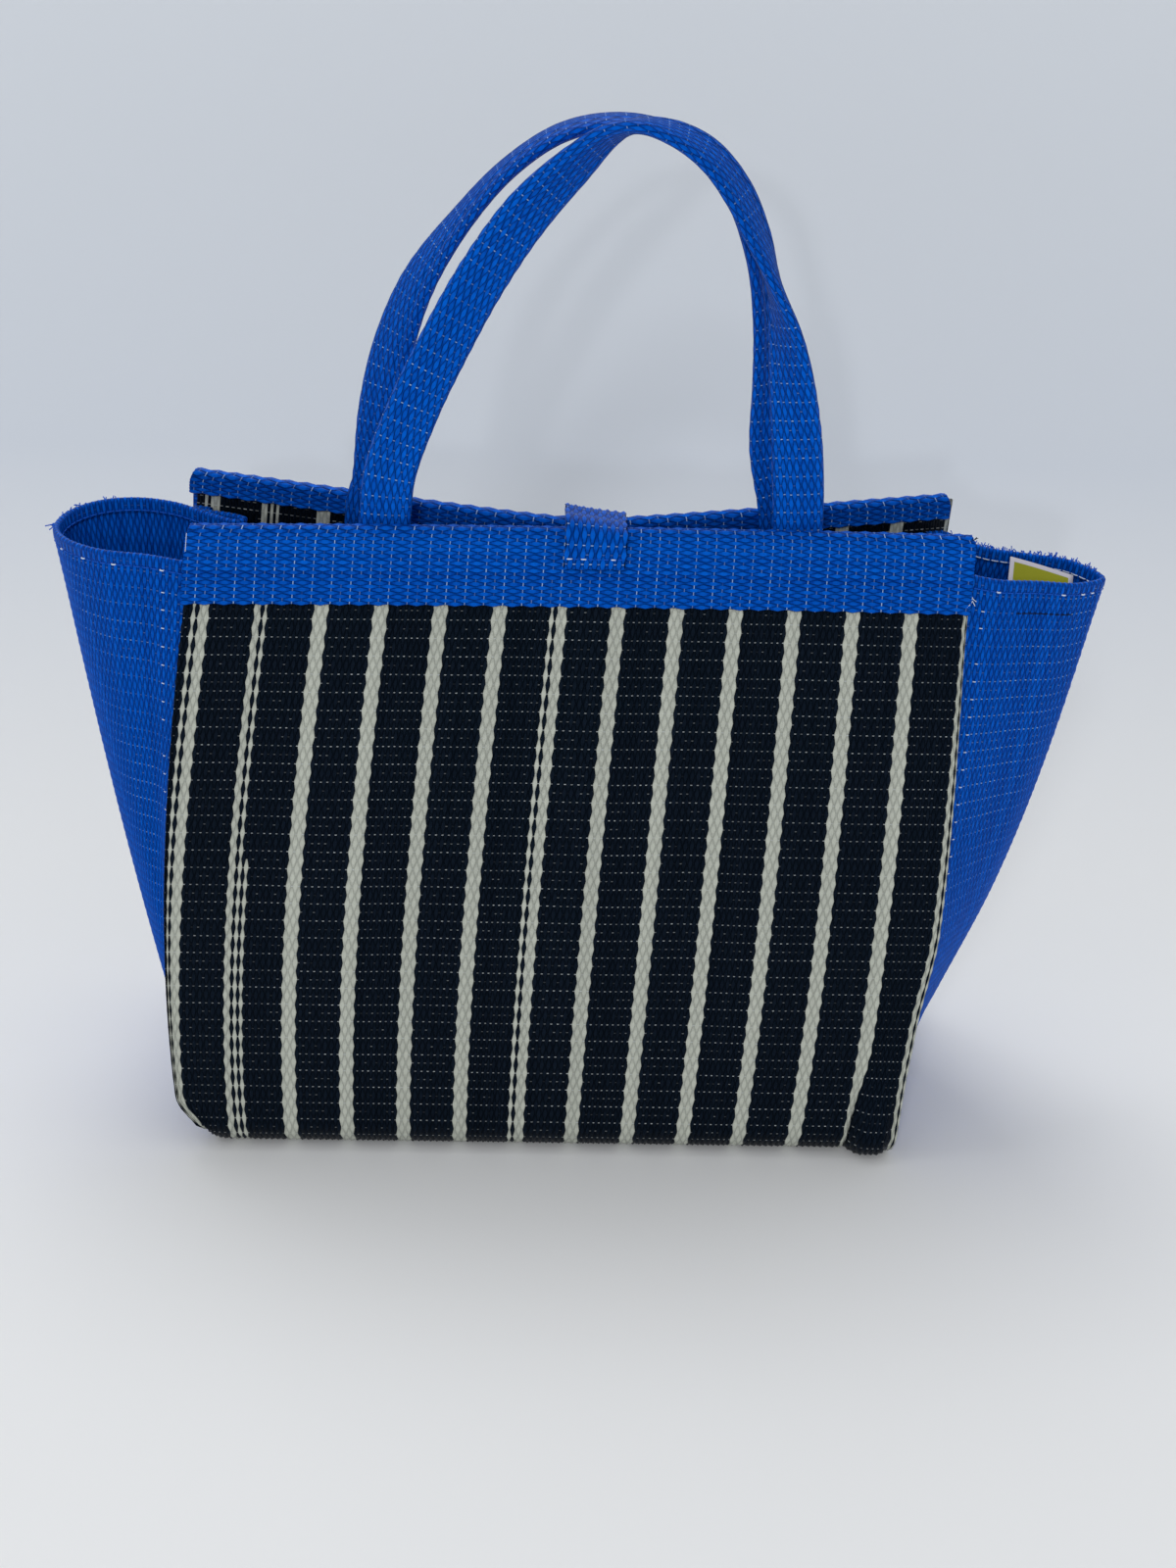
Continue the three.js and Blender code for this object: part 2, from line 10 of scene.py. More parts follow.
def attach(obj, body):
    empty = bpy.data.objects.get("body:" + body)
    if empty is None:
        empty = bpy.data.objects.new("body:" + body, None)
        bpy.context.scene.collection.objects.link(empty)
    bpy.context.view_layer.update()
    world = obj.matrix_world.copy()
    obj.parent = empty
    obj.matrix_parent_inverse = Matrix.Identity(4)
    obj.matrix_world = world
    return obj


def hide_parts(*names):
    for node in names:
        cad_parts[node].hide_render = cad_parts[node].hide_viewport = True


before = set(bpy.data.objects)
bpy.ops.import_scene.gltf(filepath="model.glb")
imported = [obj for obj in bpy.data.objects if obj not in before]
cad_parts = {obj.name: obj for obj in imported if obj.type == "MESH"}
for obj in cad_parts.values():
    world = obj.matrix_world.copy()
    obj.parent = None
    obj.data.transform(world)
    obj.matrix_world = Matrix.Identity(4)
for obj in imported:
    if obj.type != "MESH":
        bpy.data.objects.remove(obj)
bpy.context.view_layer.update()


# The camera looks down at the front panel from a little above the rim, turned slightly to the
# right and tipped by two degrees, with a short telephoto lens.
view_drop = math.radians(25)
view_turn = math.radians(2)
view_tip = math.radians(2)
view_distance = 767
view_target = Vector((12, -47, 138.5))
level_right = Vector((math.cos(view_turn), -math.sin(view_turn), 0))
view_ahead = Vector((
    math.sin(view_turn) * math.cos(view_drop),
    math.cos(view_turn) * math.cos(view_drop),
    -math.sin(view_drop),
))
level_up = level_right.cross(view_ahead)
view_right = level_right * math.cos(view_tip) + level_up * math.sin(view_tip)
view_up = level_up * math.cos(view_tip) - level_right * math.sin(view_tip)
camera_data = bpy.data.cameras.new("camera")
camera_data.lens = 52.9
camera_data.sensor_width = 36
camera_data.clip_end = 20
camera = bpy.data.objects.new("camera", camera_data)
bpy.context.collection.objects.link(camera)
camera.matrix_world = Matrix.Translation((view_target - view_ahead * view_distance) / 1000) @ Matrix((
    view_right,
    view_up,
    -view_ahead,
)).transposed().to_4x4()
bpy.context.scene.camera = camera
bpy.context.scene.view_settings.view_transform = "Standard"


# The bag stands on a sheet of pale card that curves up behind it and takes the soft shadow of the
# handles; from behind, the card is clear. The sky, a broad lamp high behind the bag and two small
# ones in front give a studio light.
def paint(code):
    channels = [int(code[place:place + 2], 16) / 255 for place in (0, 2, 4)]
    linear = [c / 12.92 if c <= 0.04045 else ((c + 0.055) / 1.055) ** 2.4 for c in channels]
    return (*linear, 1)


def new_material(name, roughness, specular):
    material = bpy.data.materials.new(name)
    material.use_nodes = True
    shader = material.node_tree.nodes["Principled BSDF"]
    shader.inputs["Roughness"].default_value = roughness
    shader.inputs["Specular IOR Level"].default_value = specular
    return material, material.node_tree, shader


def add_node(tree, kind, inputs, **settings):
    node = tree.nodes.new(kind)
    for label, value in settings.items():
        setattr(node, label, value)
    for label, value in inputs.items():
        if isinstance(value, bpy.types.NodeSocket):
            tree.links.new(value, node.inputs[label])
        else:
            node.inputs[label].default_value = value
    return node


def colour_ramp(tree, value, stops):
    node = add_node(tree, "ShaderNodeValToRGB", {"Fac": value})
    elements = node.color_ramp.elements
    for place, _ in stops[1:-1]:
        elements.new(place)
    for element, (_, code) in zip(elements, stops):
        element.color = paint(code)
    return node.outputs["Color"]


def mesh_object(name, points, faces, material):
    mesh = bpy.data.meshes.new(name)
    mesh.from_pydata((np.asarray(points, float).reshape(-1, 3) / 1000).tolist(), [], faces)
    mesh.polygons.foreach_set("use_smooth", [True] * len(mesh.polygons))
    mesh.materials.append(material)
    made = bpy.data.objects.new(name, mesh)
    bpy.context.collection.objects.link(made)
    return made


def grid_faces(rows, columns, inside=False):
    index = np.arange(rows * columns).reshape(rows, columns)
    quads = np.stack([index[:-1, :-1], index[1:, :-1], index[1:, 1:], index[:-1, 1:]], -1).reshape(-1, 4)
    return quads[:, ::-1] if inside else quads


card_half_width = 2600
card_front = -2400
card_back = 470
card_curve = 370
card_height = 800
curve_steps = 24
card_line = [(card_front, 0), (card_back - card_curve, 0)]
for step in range(1, curve_steps + 1):
    turn = step / curve_steps * math.pi / 2
    card_line.append((
        card_back - card_curve + card_curve * math.sin(turn),
        card_curve - card_curve * math.cos(turn),
    ))
card_line.append((card_back, card_height))
card_points = [(x, y, z) for y, z in card_line for x in (card_half_width, -card_half_width)]
card_paint, card_tree, card_shader = new_material("pale_card", 0.75, 0.1)
card_place = add_node(card_tree, "ShaderNodeTexCoord", {}).outputs["Object"]
card_rise = add_node(card_tree, "ShaderNodeMapRange", {
    "Value": add_node(card_tree, "ShaderNodeSeparateXYZ", {"Vector": card_place}).outputs["Z"],
    "From Min": 0.004,
    "From Max": 0.6,
}).outputs["Result"]
# Painted shade and light: the card's colour is painted darker where it begins to curve up and lighter higher
# up the wall.
card_colour = colour_ramp(card_tree, card_rise, [(0, "ECEDEE"), (0.2, "D8DEE7"), (1, "F6FAFE")])
card_tree.links.new(card_colour, card_shader.inputs["Base Color"])
card_front_or_clear = add_node(card_tree, "ShaderNodeMixShader", {
    0: add_node(card_tree, "ShaderNodeNewGeometry", {}).outputs["Backfacing"],
    1: card_shader.outputs[0],
    2: add_node(card_tree, "ShaderNodeBsdfTransparent", {}).outputs[0],
})
card_tree.links.new(card_front_or_clear.outputs[0], card_tree.nodes["Material Output"].inputs["Surface"])
card = mesh_object("card", card_points, grid_faces(len(card_line), 2).tolist(), card_paint)

sky = bpy.data.worlds.new("sky")
sky.use_nodes = True
sky.node_tree.nodes["Background"].inputs["Color"].default_value = (0.97, 0.985, 1, 1)
sky.node_tree.nodes["Background"].inputs["Strength"].default_value = 0.51
bpy.context.scene.world = sky


def lamp(name, place, aim, width, height, watts):
    light = bpy.data.lights.new(name, "AREA")
    light.shape = "RECTANGLE"
    light.size = width
    light.size_y = height
    light.energy = watts
    made = bpy.data.objects.new(name, light)
    bpy.context.collection.objects.link(made)
    towards = Vector(aim) - Vector(place)
    made.matrix_world = Matrix.Translation(place) @ towards.to_track_quat("-Z", "Y").to_matrix().to_4x4()


lamp("lamp_near", (-0.3, -2.0, 1.25), (0, 0, 0.15), 0.3, 0.3, 10)
lamp("lamp_small", (-0.32, -2.4, 0.85), (0, 0, 0.3), 0.06, 0.06, 4.5)
lamp("lamp_over", (-0.3, 0.75, 2.1), (0, 0, 0.1), 1.2, 1.2, 18)


# The body is one strip of striped cloth that runs down the front, under the base and up the
# back. Flat plastic strands run along it, woven over and under thin cross threads, and pale
# strands between the dark ones make the stripes. It is sewn to the wings along its edges.
rim_height = 218
base_depth = 120
base_half_width = 122.5
rim_half_width = 128
side_swell = 5.5
swell_power = 0.75
rim_shift = 8
shift_power = 1.6
bend_radius = 9
cloth_thickness = 1
cloth_half = 0.4 * cloth_thickness
bend_top = cloth_thickness / 2 + bend_radius
front_rim_y = -23
front_rim_turn = 3.5
front_rim_bow = 2.5
back_left_rim_y = 31
back_right_rim_y = 22
dip_y = -13.5
dip_across = 0.035
dip_rounding = 0.11
back_rim_extra = 3
back_rim_shift = -3


def lerp(start, end, share):
    return start + (end - start) * share


def smooth(low, high, value):
    share = np.clip((value - low) / (high - low), 0, 1)
    return share * share * (3 - 2 * share)


def swell(share):
    return np.sin(np.pi * np.power(np.maximum(share, 0), swell_power))


def height_share(z):
    return np.clip(z / rim_height, 0, 1)


def panel_spread(side, z):
    share = height_share(z)
    back_share = np.where(side > 0, share, 0)
    half = lerp(base_half_width, rim_half_width, share) + side_swell * swell(share)
    middle = rim_shift * np.power(share, shift_power)
    return middle + back_rim_shift * back_share, half + back_rim_extra * back_share


def panel_x(side, across, z):
    middle, half = panel_spread(side, z)
    return middle + across * half


def across_at(side, x, z):
    middle, half = panel_spread(side, z)
    return (x - middle) / half


def wall_y(side, across, z):
    front_rim = front_rim_y + front_rim_turn * across - front_rim_bow * across * across
    from_dip = across - dip_across
    end_y = np.where(from_dip < 0, back_left_rim_y, back_right_rim_y)
    reach = np.where(from_dip < 0, 1 + dip_across, 1 - dip_across)
    rounded = np.hypot(from_dip / reach, dip_rounding) - dip_rounding
    back_rim = dip_y + (end_y - dip_y) * rounded / (math.hypot(1, dip_rounding) - dip_rounding)
    rim_y = np.where(side > 0, back_rim, front_rim)
    return lerp(side * base_depth / 2, rim_y, height_share(z))


def strip_point(across, along):
    across, along = np.broadcast_arrays(np.asarray(across, float), np.asarray(along, float))
    side = np.where(along < 2.5, -1, 1)
    down = np.where(along < 2.5, along, 5 - along)
    turn = np.clip(down - 1, 0, 1) * math.pi / 2
    z = np.where(down <= 1, lerp(rim_height, bend_top, down), bend_top - bend_radius * np.sin(turn))
    front_bend = wall_y(-1, across, bend_top) + bend_radius
    back_bend = wall_y(1, across, bend_top) - bend_radius
    bend = np.where(side < 0, front_bend, back_bend)
    y = np.where(down <= 1, wall_y(side, across, z), bend + side * bend_radius * np.cos(turn))
    y = np.where(down >= 2, lerp(front_bend, back_bend, along - 2), y)
    return np.stack([panel_x(side, across, z), y, z], -1)


def unit(vectors):
    return vectors / np.maximum(np.linalg.norm(vectors, axis=-1, keepdims=True), 1e-12)


def strip_normal(across, along):
    step = 1e-4
    down = strip_point(across, along + step) - strip_point(across, along - step)
    right = strip_point(across + step, along) - strip_point(across - step, along)
    return unit(np.cross(down, right))


def wall_point(side, across, z, distance):
    across, z = np.broadcast_arrays(np.asarray(across, float), np.asarray(z, float))
    share = (rim_height - z) / (rim_height - bend_top)
    along = share if side < 0 else 5 - share
    return strip_point(across, along) + strip_normal(across, along) * distance


def grid_normals(points):
    return unit(np.cross(np.gradient(points, axis=0), np.gradient(points, axis=1)))


def weave_steps(count):
    return np.arange(2 * count + 1) / 2


def run_along(line):
    return np.concatenate([[0], np.cumsum(np.linalg.norm(np.diff(line, axis=0), axis=1))])


def points_at(places, run, line):
    return np.stack([np.interp(places, run, line[:, axis]) for axis in range(3)], -1)


tone_count = 4096


# A sheet is a grid of points with the count of strands across and of cross threads along it.
def sheet_of(points, strands, wefts, relief=1.0, inside=False, pale=None, lining=0.0):
    return {
        "points": points,
        "strands": np.asarray(strands, float),
        "wefts": np.asarray(wefts, float),
        "relief": relief,
        "inside": inside,
        "pale": pale,
        "lining": lining,
    }


def woven_mesh(name, sheets, material):
    points, faces, uvs, sideways = [], [], [], []
    layers = {label: [] for label in ("strand", "weft", "relief", "tone", "pale", "lining")}
    random = np.random.default_rng(len(name) * 7 + 3)
    start = 0
    for sheet in sheets:
        corners = sheet["points"].shape[:2]
        cells = (corners[0] - 1, corners[1] - 1)
        grid_u, grid_v = np.broadcast_arrays(sheet["strands"][None, :], sheet["wefts"][:, None])
        quads = grid_faces(*corners, sheet["inside"])
        points.append(sheet["points"].reshape(-1, 3))
        faces.append(quads + start)
        uvs.append(np.stack([grid_u.ravel()[quads], grid_v.ravel()[quads]], -1).reshape(-1, 2))
        across = np.gradient(sheet["points"], axis=1) / np.gradient(sheet["strands"])[None, :, None]
        sideways.append(across.reshape(-1, 3))
        strand = np.floor((sheet["strands"][:-1] + sheet["strands"][1:]) / 2).astype(int)
        for label, values, shape in (
            ("strand", grid_u, corners),
            ("weft", grid_v, corners),
            ("relief", sheet["relief"], corners),
            ("tone", random.random(tone_count)[strand % tone_count], cells),
            ("pale", sheet["pale"](strand, sheet["wefts"][:-1]) if sheet["pale"] else 0.0, cells),
            ("lining", sheet["lining"], cells),
        ):
            layers[label].append(np.broadcast_to(values, shape).ravel())
        start += corners[0] * corners[1]
    made = mesh_object(name, np.concatenate(points), np.concatenate(faces).tolist(), material)
    mesh = made.data
    mesh.uv_layers.new(name="weave").data.foreach_set("uv", np.concatenate(uvs).ravel().astype(np.float32))
    for label, values in layers.items():
        domain = "POINT" if label in ("strand", "weft", "relief") else "FACE"
        layer = mesh.attributes.new(label, "FLOAT", domain)
        layer.data.foreach_set("value", np.concatenate(values).astype(np.float32))
    layer = mesh.attributes.new("sideways", "FLOAT_VECTOR", "POINT")
    layer.data.foreach_set("vector", (np.concatenate(sideways) / 1000).ravel().astype(np.float32))
    return made


# Every strand is a low ridge that rises over one cross thread, where it spreads, and dips under
# the next, where its neighbours close over it.
def new_tree(name, values):
    tree = bpy.data.node_groups.new(name, "GeometryNodeTree")
    sockets = tree.interface
    sockets.new_socket("Geometry", in_out="INPUT", socket_type="NodeSocketGeometry")
    for label, value in values.items():
        sockets.new_socket(label, in_out="INPUT", socket_type="NodeSocketFloat").default_value = value
    sockets.new_socket("Cloth", in_out="INPUT", socket_type="NodeSocketMaterial")
    sockets.new_socket("Geometry", in_out="OUTPUT", socket_type="NodeSocketGeometry")
    return tree, tree.nodes.new("NodeGroupInput").outputs


def finish_tree(tree, geometry, material):
    whole = add_node(tree, "GeometryNodeRealizeInstances", {"Geometry": geometry}).outputs[0]
    dressed = add_node(tree, "GeometryNodeSetMaterial", {"Geometry": whole, "Material": material}).outputs[0]
    add_node(tree, "NodeGroupOutput", {"Geometry": dressed})
    return tree


def sums_in(tree):
    def sum_of(kind, first, second=0.0):
        return add_node(tree, "ShaderNodeMath", {0: first, 1: second}, operation=kind).outputs[0]

    def plus(first, second):
        return sum_of("ADD", first, second)

    def minus(first, second):
        return sum_of("SUBTRACT", first, second)

    def times(first, second):
        return sum_of("MULTIPLY", first, second)

    return sum_of, plus, minus, times


def vector_sum(tree, kind, inputs):
    return add_node(tree, "ShaderNodeVectorMath", inputs, operation=kind).outputs[0]


def weave_tree():
    tree, given = new_tree("woven_relief", {"Strand height": 0.0002, "Weave depth": 0.0001, "Spread": 0.2})
    sum_of, plus, minus, times = sums_in(tree)

    def stored(label, kind="FLOAT"):
        node = add_node(tree, "GeometryNodeInputNamedAttribute", {"Name": label}, data_type=kind)
        return node.outputs["Attribute"]

    strand = stored("strand")
    relief = stored("relief")
    from_middle = minus(sum_of("FRACT", strand), 0.5)
    valley = times(times(from_middle, from_middle), 4.0)
    turn = sum_of("COSINE", times(sum_of("FLOOR", strand), math.pi))
    wave = times(sum_of("SINE", times(stored("weft"), math.pi)), turn)
    lift = plus(given["Strand height"], times(wave, given["Weave depth"]))
    height = times(times(minus(1.0, valley), lift), relief)
    shift = times(times(times(times(valley, wave), given["Spread"]), relief), -1.0)
    normal = add_node(tree, "GeometryNodeInputNormal", {}).outputs[0]
    raised = vector_sum(tree, "SCALE", {0: normal, "Scale": height})
    spread = vector_sum(tree, "SCALE", {0: stored("sideways", "FLOAT_VECTOR"), "Scale": shift})
    moved = vector_sum(tree, "ADD", {0: raised, 1: spread})
    place = add_node(tree, "GeometryNodeSetPosition", {"Geometry": given["Geometry"], "Offset": moved})
    return finish_tree(tree, place.outputs["Geometry"], given["Cloth"])


def run_nodes(target, tree, values):
    modifier = target.modifiers.new(tree.name, "NODES")
    modifier.node_group = tree
    for item in tree.interface.items_tree:
        if item.item_type == "SOCKET" and item.in_out == "INPUT" and item.name in values:
            modifier[item.identifier] = values[item.name]
    target.update_tag()
    depsgraph = bpy.context.evaluated_depsgraph_get()
    finished = bpy.data.meshes.new_from_object(target.evaluated_get(depsgraph), depsgraph=depsgraph)
    target.modifiers.remove(modifier)
    old = target.data
    target.data = finished
    bpy.data.meshes.remove(old)
    finished.name = target.name


woven_relief = weave_tree()


def weave(target, material, strand_height=0.34, weave_depth=0.24, spread=0.27):
    run_nodes(target, woven_relief, {
        "Strand height": strand_height / 1000,
        "Weave depth": weave_depth / 1000,
        "Spread": spread,
        "Cloth": material,
    })


def dress(target, material_slot, *nodes):
    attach(target, "root")
    if nodes:
        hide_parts(*nodes)


def woven_piece(name, sheets, material, material_slot, node, **relief):
    cloth = woven_mesh(name, sheets, material)
    weave(cloth, material, **relief)
    dress(cloth, material_slot, node)
    return cloth


# Woven plastic strands: a soft shine along each strand, a painted highlight on its crest, fine filament
# lines, painted shade in the gap between neighbours and where a strand dips, and the pale cross thread that
# shows where a strand dips under it.
def woven_material(
    name, dark, light, thread, pale_dark, pale_light, shine, faint_rows, tick_reach, patchiness,
):
    material, tree, shader = new_material(name, 0.4, 0.2)
    shader.inputs["Specular Tint"].default_value = shine
    sum_of, plus, minus, times = sums_in(tree)

    def band_of(value, outer, inner):
        ends = {"Value": value, "From Min": outer, "From Max": inner}
        return add_node(tree, "ShaderNodeMapRange", ends, interpolation_type="SMOOTHSTEP").outputs["Result"]

    def mix(share, first, second, **settings):
        ends = {"Factor": share, "A": first, "B": second}
        return add_node(tree, "ShaderNodeMix", ends, data_type="RGBA", **settings).outputs["Result"]

    def noise(place, scale, detail):
        values = {"Vector": place, "Scale": scale, "Detail": detail}
        return add_node(tree, "ShaderNodeTexNoise", values).outputs["Fac"]

    def stored(label):
        return add_node(tree, "ShaderNodeAttribute", {}, attribute_name=label).outputs["Fac"]

    body_place = add_node(tree, "ShaderNodeTexCoord", {}).outputs["Object"]
    weave_place = add_node(tree, "ShaderNodeUVMap", {}, uv_map="weave").outputs["UV"]
    split = add_node(tree, "ShaderNodeSeparateXYZ", {0: weave_place}).outputs
    strand, weft = split["X"], split["Y"]
    strand_count = sum_of("FLOOR", strand)
    weft_count = sum_of("FLOOR", weft)
    from_strand = sum_of("ABSOLUTE", minus(minus(strand, strand_count), 0.5))
    from_weft = sum_of("ABSOLUTE", minus(minus(weft, weft_count), 0.5))
    strong = times(sum_of("FRACT", times(weft_count, 0.5)), 2.0)
    turn = sum_of("COSINE", times(strand_count, math.pi))
    wave = times(sum_of("SINE", times(weft, math.pi)), turn)

    tick_width, tick_core, tick_fade = 0.065, 0.03, 0.09
    pair = times(plus(minus(strand, 1.5), strong), 0.5)
    nearest = sum_of("ROUND", pair)
    from_dip = times(sum_of("ABSOLUTE", minus(pair, nearest)), 2.0)
    cell = add_node(tree, "ShaderNodeCombineXYZ", {0: nearest, 1: weft_count}).outputs[0]
    dice = add_node(tree, "ShaderNodeTexWhiteNoise", {"Vector": cell}, noise_dimensions="2D")
    chance = dice.outputs["Value"]
    patches = band_of(noise(body_place, 24.0, 1.0), 0.36, 0.6)
    patchy = plus(times(patches, patchiness), 1.0 - patchiness)
    patchy = times(patchy, minus(1.0, stored("lining")))
    clear = plus(times(chance, 0.6), 0.25)
    dim = times(band_of(chance, 0.35, 0.95), faint_rows)
    shown = plus(times(strong, clear), times(minus(1.0, strong), dim))
    tick = times(
        band_of(from_weft, tick_width, tick_core),
        band_of(from_dip, tick_reach + tick_fade, tick_reach),
    )
    tick = times(tick, times(shown, patchy))

    # The strand colour mixes a random tone, grain and wear with a painted highlight where the strand rises
    # over a cross thread.
    tone_share, grain_share, wear_share, crest_highlight_share = 0.25, 0.5, 0.15, 0.25
    grain = noise(vector_sum(tree, "MULTIPLY", {0: weave_place, 1: (7.0, 0.7, 1.0)}), 1.0, 3.0)
    shade = plus(times(stored("tone"), tone_share), times(grain, grain_share))
    shade = plus(shade, times(noise(body_place, 26.0, 2.0), wear_share))
    shade = plus(shade, times(band_of(wave, 0.0, 0.8), crest_highlight_share))
    pale = stored("pale")
    cloth = mix(pale, mix(shade, dark, light), mix(shade, pale_dark, pale_light))

    # Painted shade: the colour is darkened towards black in the gap between neighbouring strands and where a
    # strand dips under a cross thread, less on pale strands.
    gap_shade_strength, dip_shade_strength, pale_gap_shade_cut, pale_dip_shade_cut = 0.9, 0.4, 0.65, 0.2
    gap = band_of(from_strand, 0.3, 0.5)
    gap_shade = times(times(gap, minus(1.0, times(pale, pale_gap_shade_cut))), gap_shade_strength)
    dip_shade = times(band_of(wave, -0.15, -1.0), minus(dip_shade_strength, times(pale, pale_dip_shade_cut)))
    shaded_cloth = mix(sum_of("MAXIMUM", gap_shade, dip_shade), cloth, (0.1, 0.1, 0.1, 1), blend_type="MULTIPLY")
    tree.links.new(mix(tick, shaded_cloth, thread), shader.inputs["Base Color"])
    height = minus(grain, times(gap, 0.8))
    bump = add_node(tree, "ShaderNodeBump", {"Strength": 0.6, "Distance": 0.00025, "Height": height})
    tree.links.new(bump.outputs["Normal"], shader.inputs["Normal"])
    return material


striped_cloth = woven_material(
    "striped_cloth",
    paint("020509"),
    paint("131B26"),
    paint("C6CDD0"),
    paint("9A9E95"),
    paint("CBCFC3"),
    (0.06, 0.14, 0.28, 1),
    0.35,
    0.5,
    0.3,
)
strand_pitch = 1.03
weft_pitch = 3.1
strip_strands = 253
stripe_pitch = 19.44
first_stripe = 5.5
stripe_count = 14


# How the strands of a stripe go, and how wide they are: P is pale and D is dark.
stripe_pattern = {0: ("PDPPP", 1.05), 1: ("PPDP", 1.0), 6: ("PDPPP", 1.05), 13: ("PPDP", 1.0)}
even_stripes = {1}
pale_strands = set()
known_strands = [0]
known_places = [0]
for stripe in range(stripe_count):
    pattern, strand_width = stripe_pattern.get(stripe, ("PPPP", 1.13))
    middle = first_stripe + stripe * stripe_pitch
    even = int(stripe in even_stripes)
    first = 2 * round((middle / strand_pitch - len(pattern) / 2 - 1 + even) / 2) + 1 - even
    half_width = len(pattern) * strand_pitch * strand_width / 2
    pale_strands.update(first + offset for offset, kind in enumerate(pattern) if kind == "P")
    known_strands += [first, first + len(pattern)]
    known_places += [middle - half_width, middle + half_width]


# The cloth leans as it goes down: its strands spread and slide to the left, and those past the
# corner of the bag crowd into its edge.
first_stripe_across = (-1.0315, -0.941)
stripe_step_across = (0.1586, 0.1505)
edge_start = 0.995
left_edge_room = 0.03
right_edge_room = 0.06
upper_edge_room = 0.02
extra_strand = known_strands[4] + 1
extra_weft = 36


def strand_across(strand, z):
    share = height_share(z)
    place = np.interp(strand, known_strands, known_places)
    count = (place - first_stripe) / stripe_pitch
    across = lerp(*first_stripe_across, share) + lerp(*stripe_step_across, share) * count
    over = np.maximum(np.abs(across) - edge_start, 0)
    low_room = np.where(across > 0, right_edge_room, left_edge_room)
    room = lerp(low_room, upper_edge_room, smooth(90, 190, z))
    crowded = edge_start + room * (1 - np.exp(-over / room))
    return np.sign(across) * np.where(over > 0, crowded, np.abs(across))


def stripe_colour(strand, weft):
    pale = np.isin(strand, sorted(pale_strands))[None, :]
    extra = (strand == extra_strand)[None, :] & (weft > extra_weft)[:, None]
    return (pale | extra).astype(float)


# The cloth's lower corners are drawn up and in where the seams end. Near the right seam the front
# is pressed into a short upright crease, which hides most of a pale stripe at its foot.
corner_lift = 2
corner_lean = 3
corner_reach = 0.11
corner_tuck = 9.5
corner_height = 20
crease_first, crease_last = known_strands[-4:-2]
crease_width = 3
side_pull = 3.4
crease_depth = 2.4
crease_place = -0.004
crease_reach = 0.011
bulge_depth = 4.6
bulge_reach = 0.05
crease_height = 38
panel_bow = 0.9
panel_waves = 0.45


def crease_hide(z):
    return crease_width * smooth(crease_height + 6, 8, z)


def pulled_in(z):
    return side_pull * smooth(85, 45, z) * smooth(4, 40, z)


def near_corner(y):
    return smooth(15, 50, np.abs(y))


def settle(points, across, along):
    down = np.where(along < 2.5, along, 5 - along)
    low = smooth(0.86, 1.6, down)
    corner = np.clip((np.abs(across) - 1 + corner_reach) / corner_reach, 0, 1) ** 2
    front_right = smooth(2.4, 1.9, along) * (across > 0)
    lift = corner * low * (1 - front_right)
    moved = points.copy()
    moved[..., 2] += corner_lift * lift
    moved[..., 1] += np.where(along < 2.5, 1, -1) * corner_lean * lift
    tuck = corner_tuck * corner ** 1.5 * smooth(corner_height, 1, points[..., 2])
    moved[..., 0] -= np.sign(across) * tuck * near_corner(points[..., 1]) * (1 - front_right)
    at_front = smooth(2.6, 2.0, along)
    crease_start = strand_across(crease_first, points[..., 2])
    crease_end = strand_across(crease_last, points[..., 2])
    past = across - crease_end
    fold = np.exp(-((past - crease_place) / crease_reach) ** 2)
    swell_out = smooth(0.0, bulge_reach, past) * (1 - 0.7 * smooth(0.985, 1.015, across))
    fade = smooth(crease_height, 2, points[..., 2]) * at_front
    moved[..., 1] += fade * (crease_depth * fold - bulge_depth * swell_out)
    in_stripe = np.clip((across - crease_start) / (crease_end - crease_start), 0, 1)
    beyond = np.clip(past / (1 - crease_end), 0, 1)
    moved[..., 0] -= at_front * (crease_hide(points[..., 2]) * in_stripe + pulled_in(points[..., 2]) * beyond)
    calm = np.sin(np.pi * np.clip(down, 0, 1)) * (1 - across ** 4)
    wave = np.sin(across * 9.5 + down * 2.1) + 0.6 * np.sin(across * 17 - down * 3.7 + 1.3)
    side = np.where(along < 2.5, -1, 1)
    moved[..., 1] += side * calm * (panel_bow + panel_waves * wave)
    return moved


panel_length = float(run_along(strip_point(0.0, np.linspace(0, 2, 200)))[-1])
base_length = base_depth - 2 * bend_radius
strip_columns = weave_steps(strip_strands)


def strip_panel(name, start, end, length, first_weft):
    wefts = round(length / weft_pitch)
    steps = weave_steps(wefts)
    fine = np.linspace(start, end, 400)
    run = run_along(strip_point(0.0, fine))
    rows = np.interp(steps / wefts * run[-1], run, fine)
    strand, along = np.meshgrid(strip_columns, rows)
    across = strand_across(strand, strip_point(0.0, along)[..., 2])
    face = settle(strip_point(across, along), across, along)
    normals = grid_normals(face)
    outer = face + normals * cloth_half
    inner = face - normals * cloth_half
    coarse_rows = slice(None, None, 4)
    sheets = [
        sheet_of(outer, strip_columns, steps + first_weft, 1, False, stripe_colour),
        sheet_of(
            inner[coarse_rows, ::2],
            strip_columns[::2],
            (steps + first_weft)[coarse_rows],
            0,
            True,
            stripe_colour,
        ),
    ]
    for column, inside in [(0, False), (-1, True)]:
        edge = np.stack([inner[:, column], outer[:, column]], 1)
        strand = strip_columns[column] + np.array([0.2, 0]) * (1 if column == 0 else -1)
        sheets.append(sheet_of(edge, strand, steps + first_weft, 0, inside, stripe_colour))
    cloth = woven_piece(name, sheets, striped_cloth, "striped_cloth", "body_strip")
    return first_weft + wefts


base_weft = strip_panel("front_panel", 0, 2, panel_length, 0)
back_weft = strip_panel("base_panel", 2, 3, base_length, base_weft)
strip_panel("back_panel", 3, 5, panel_length, back_weft)


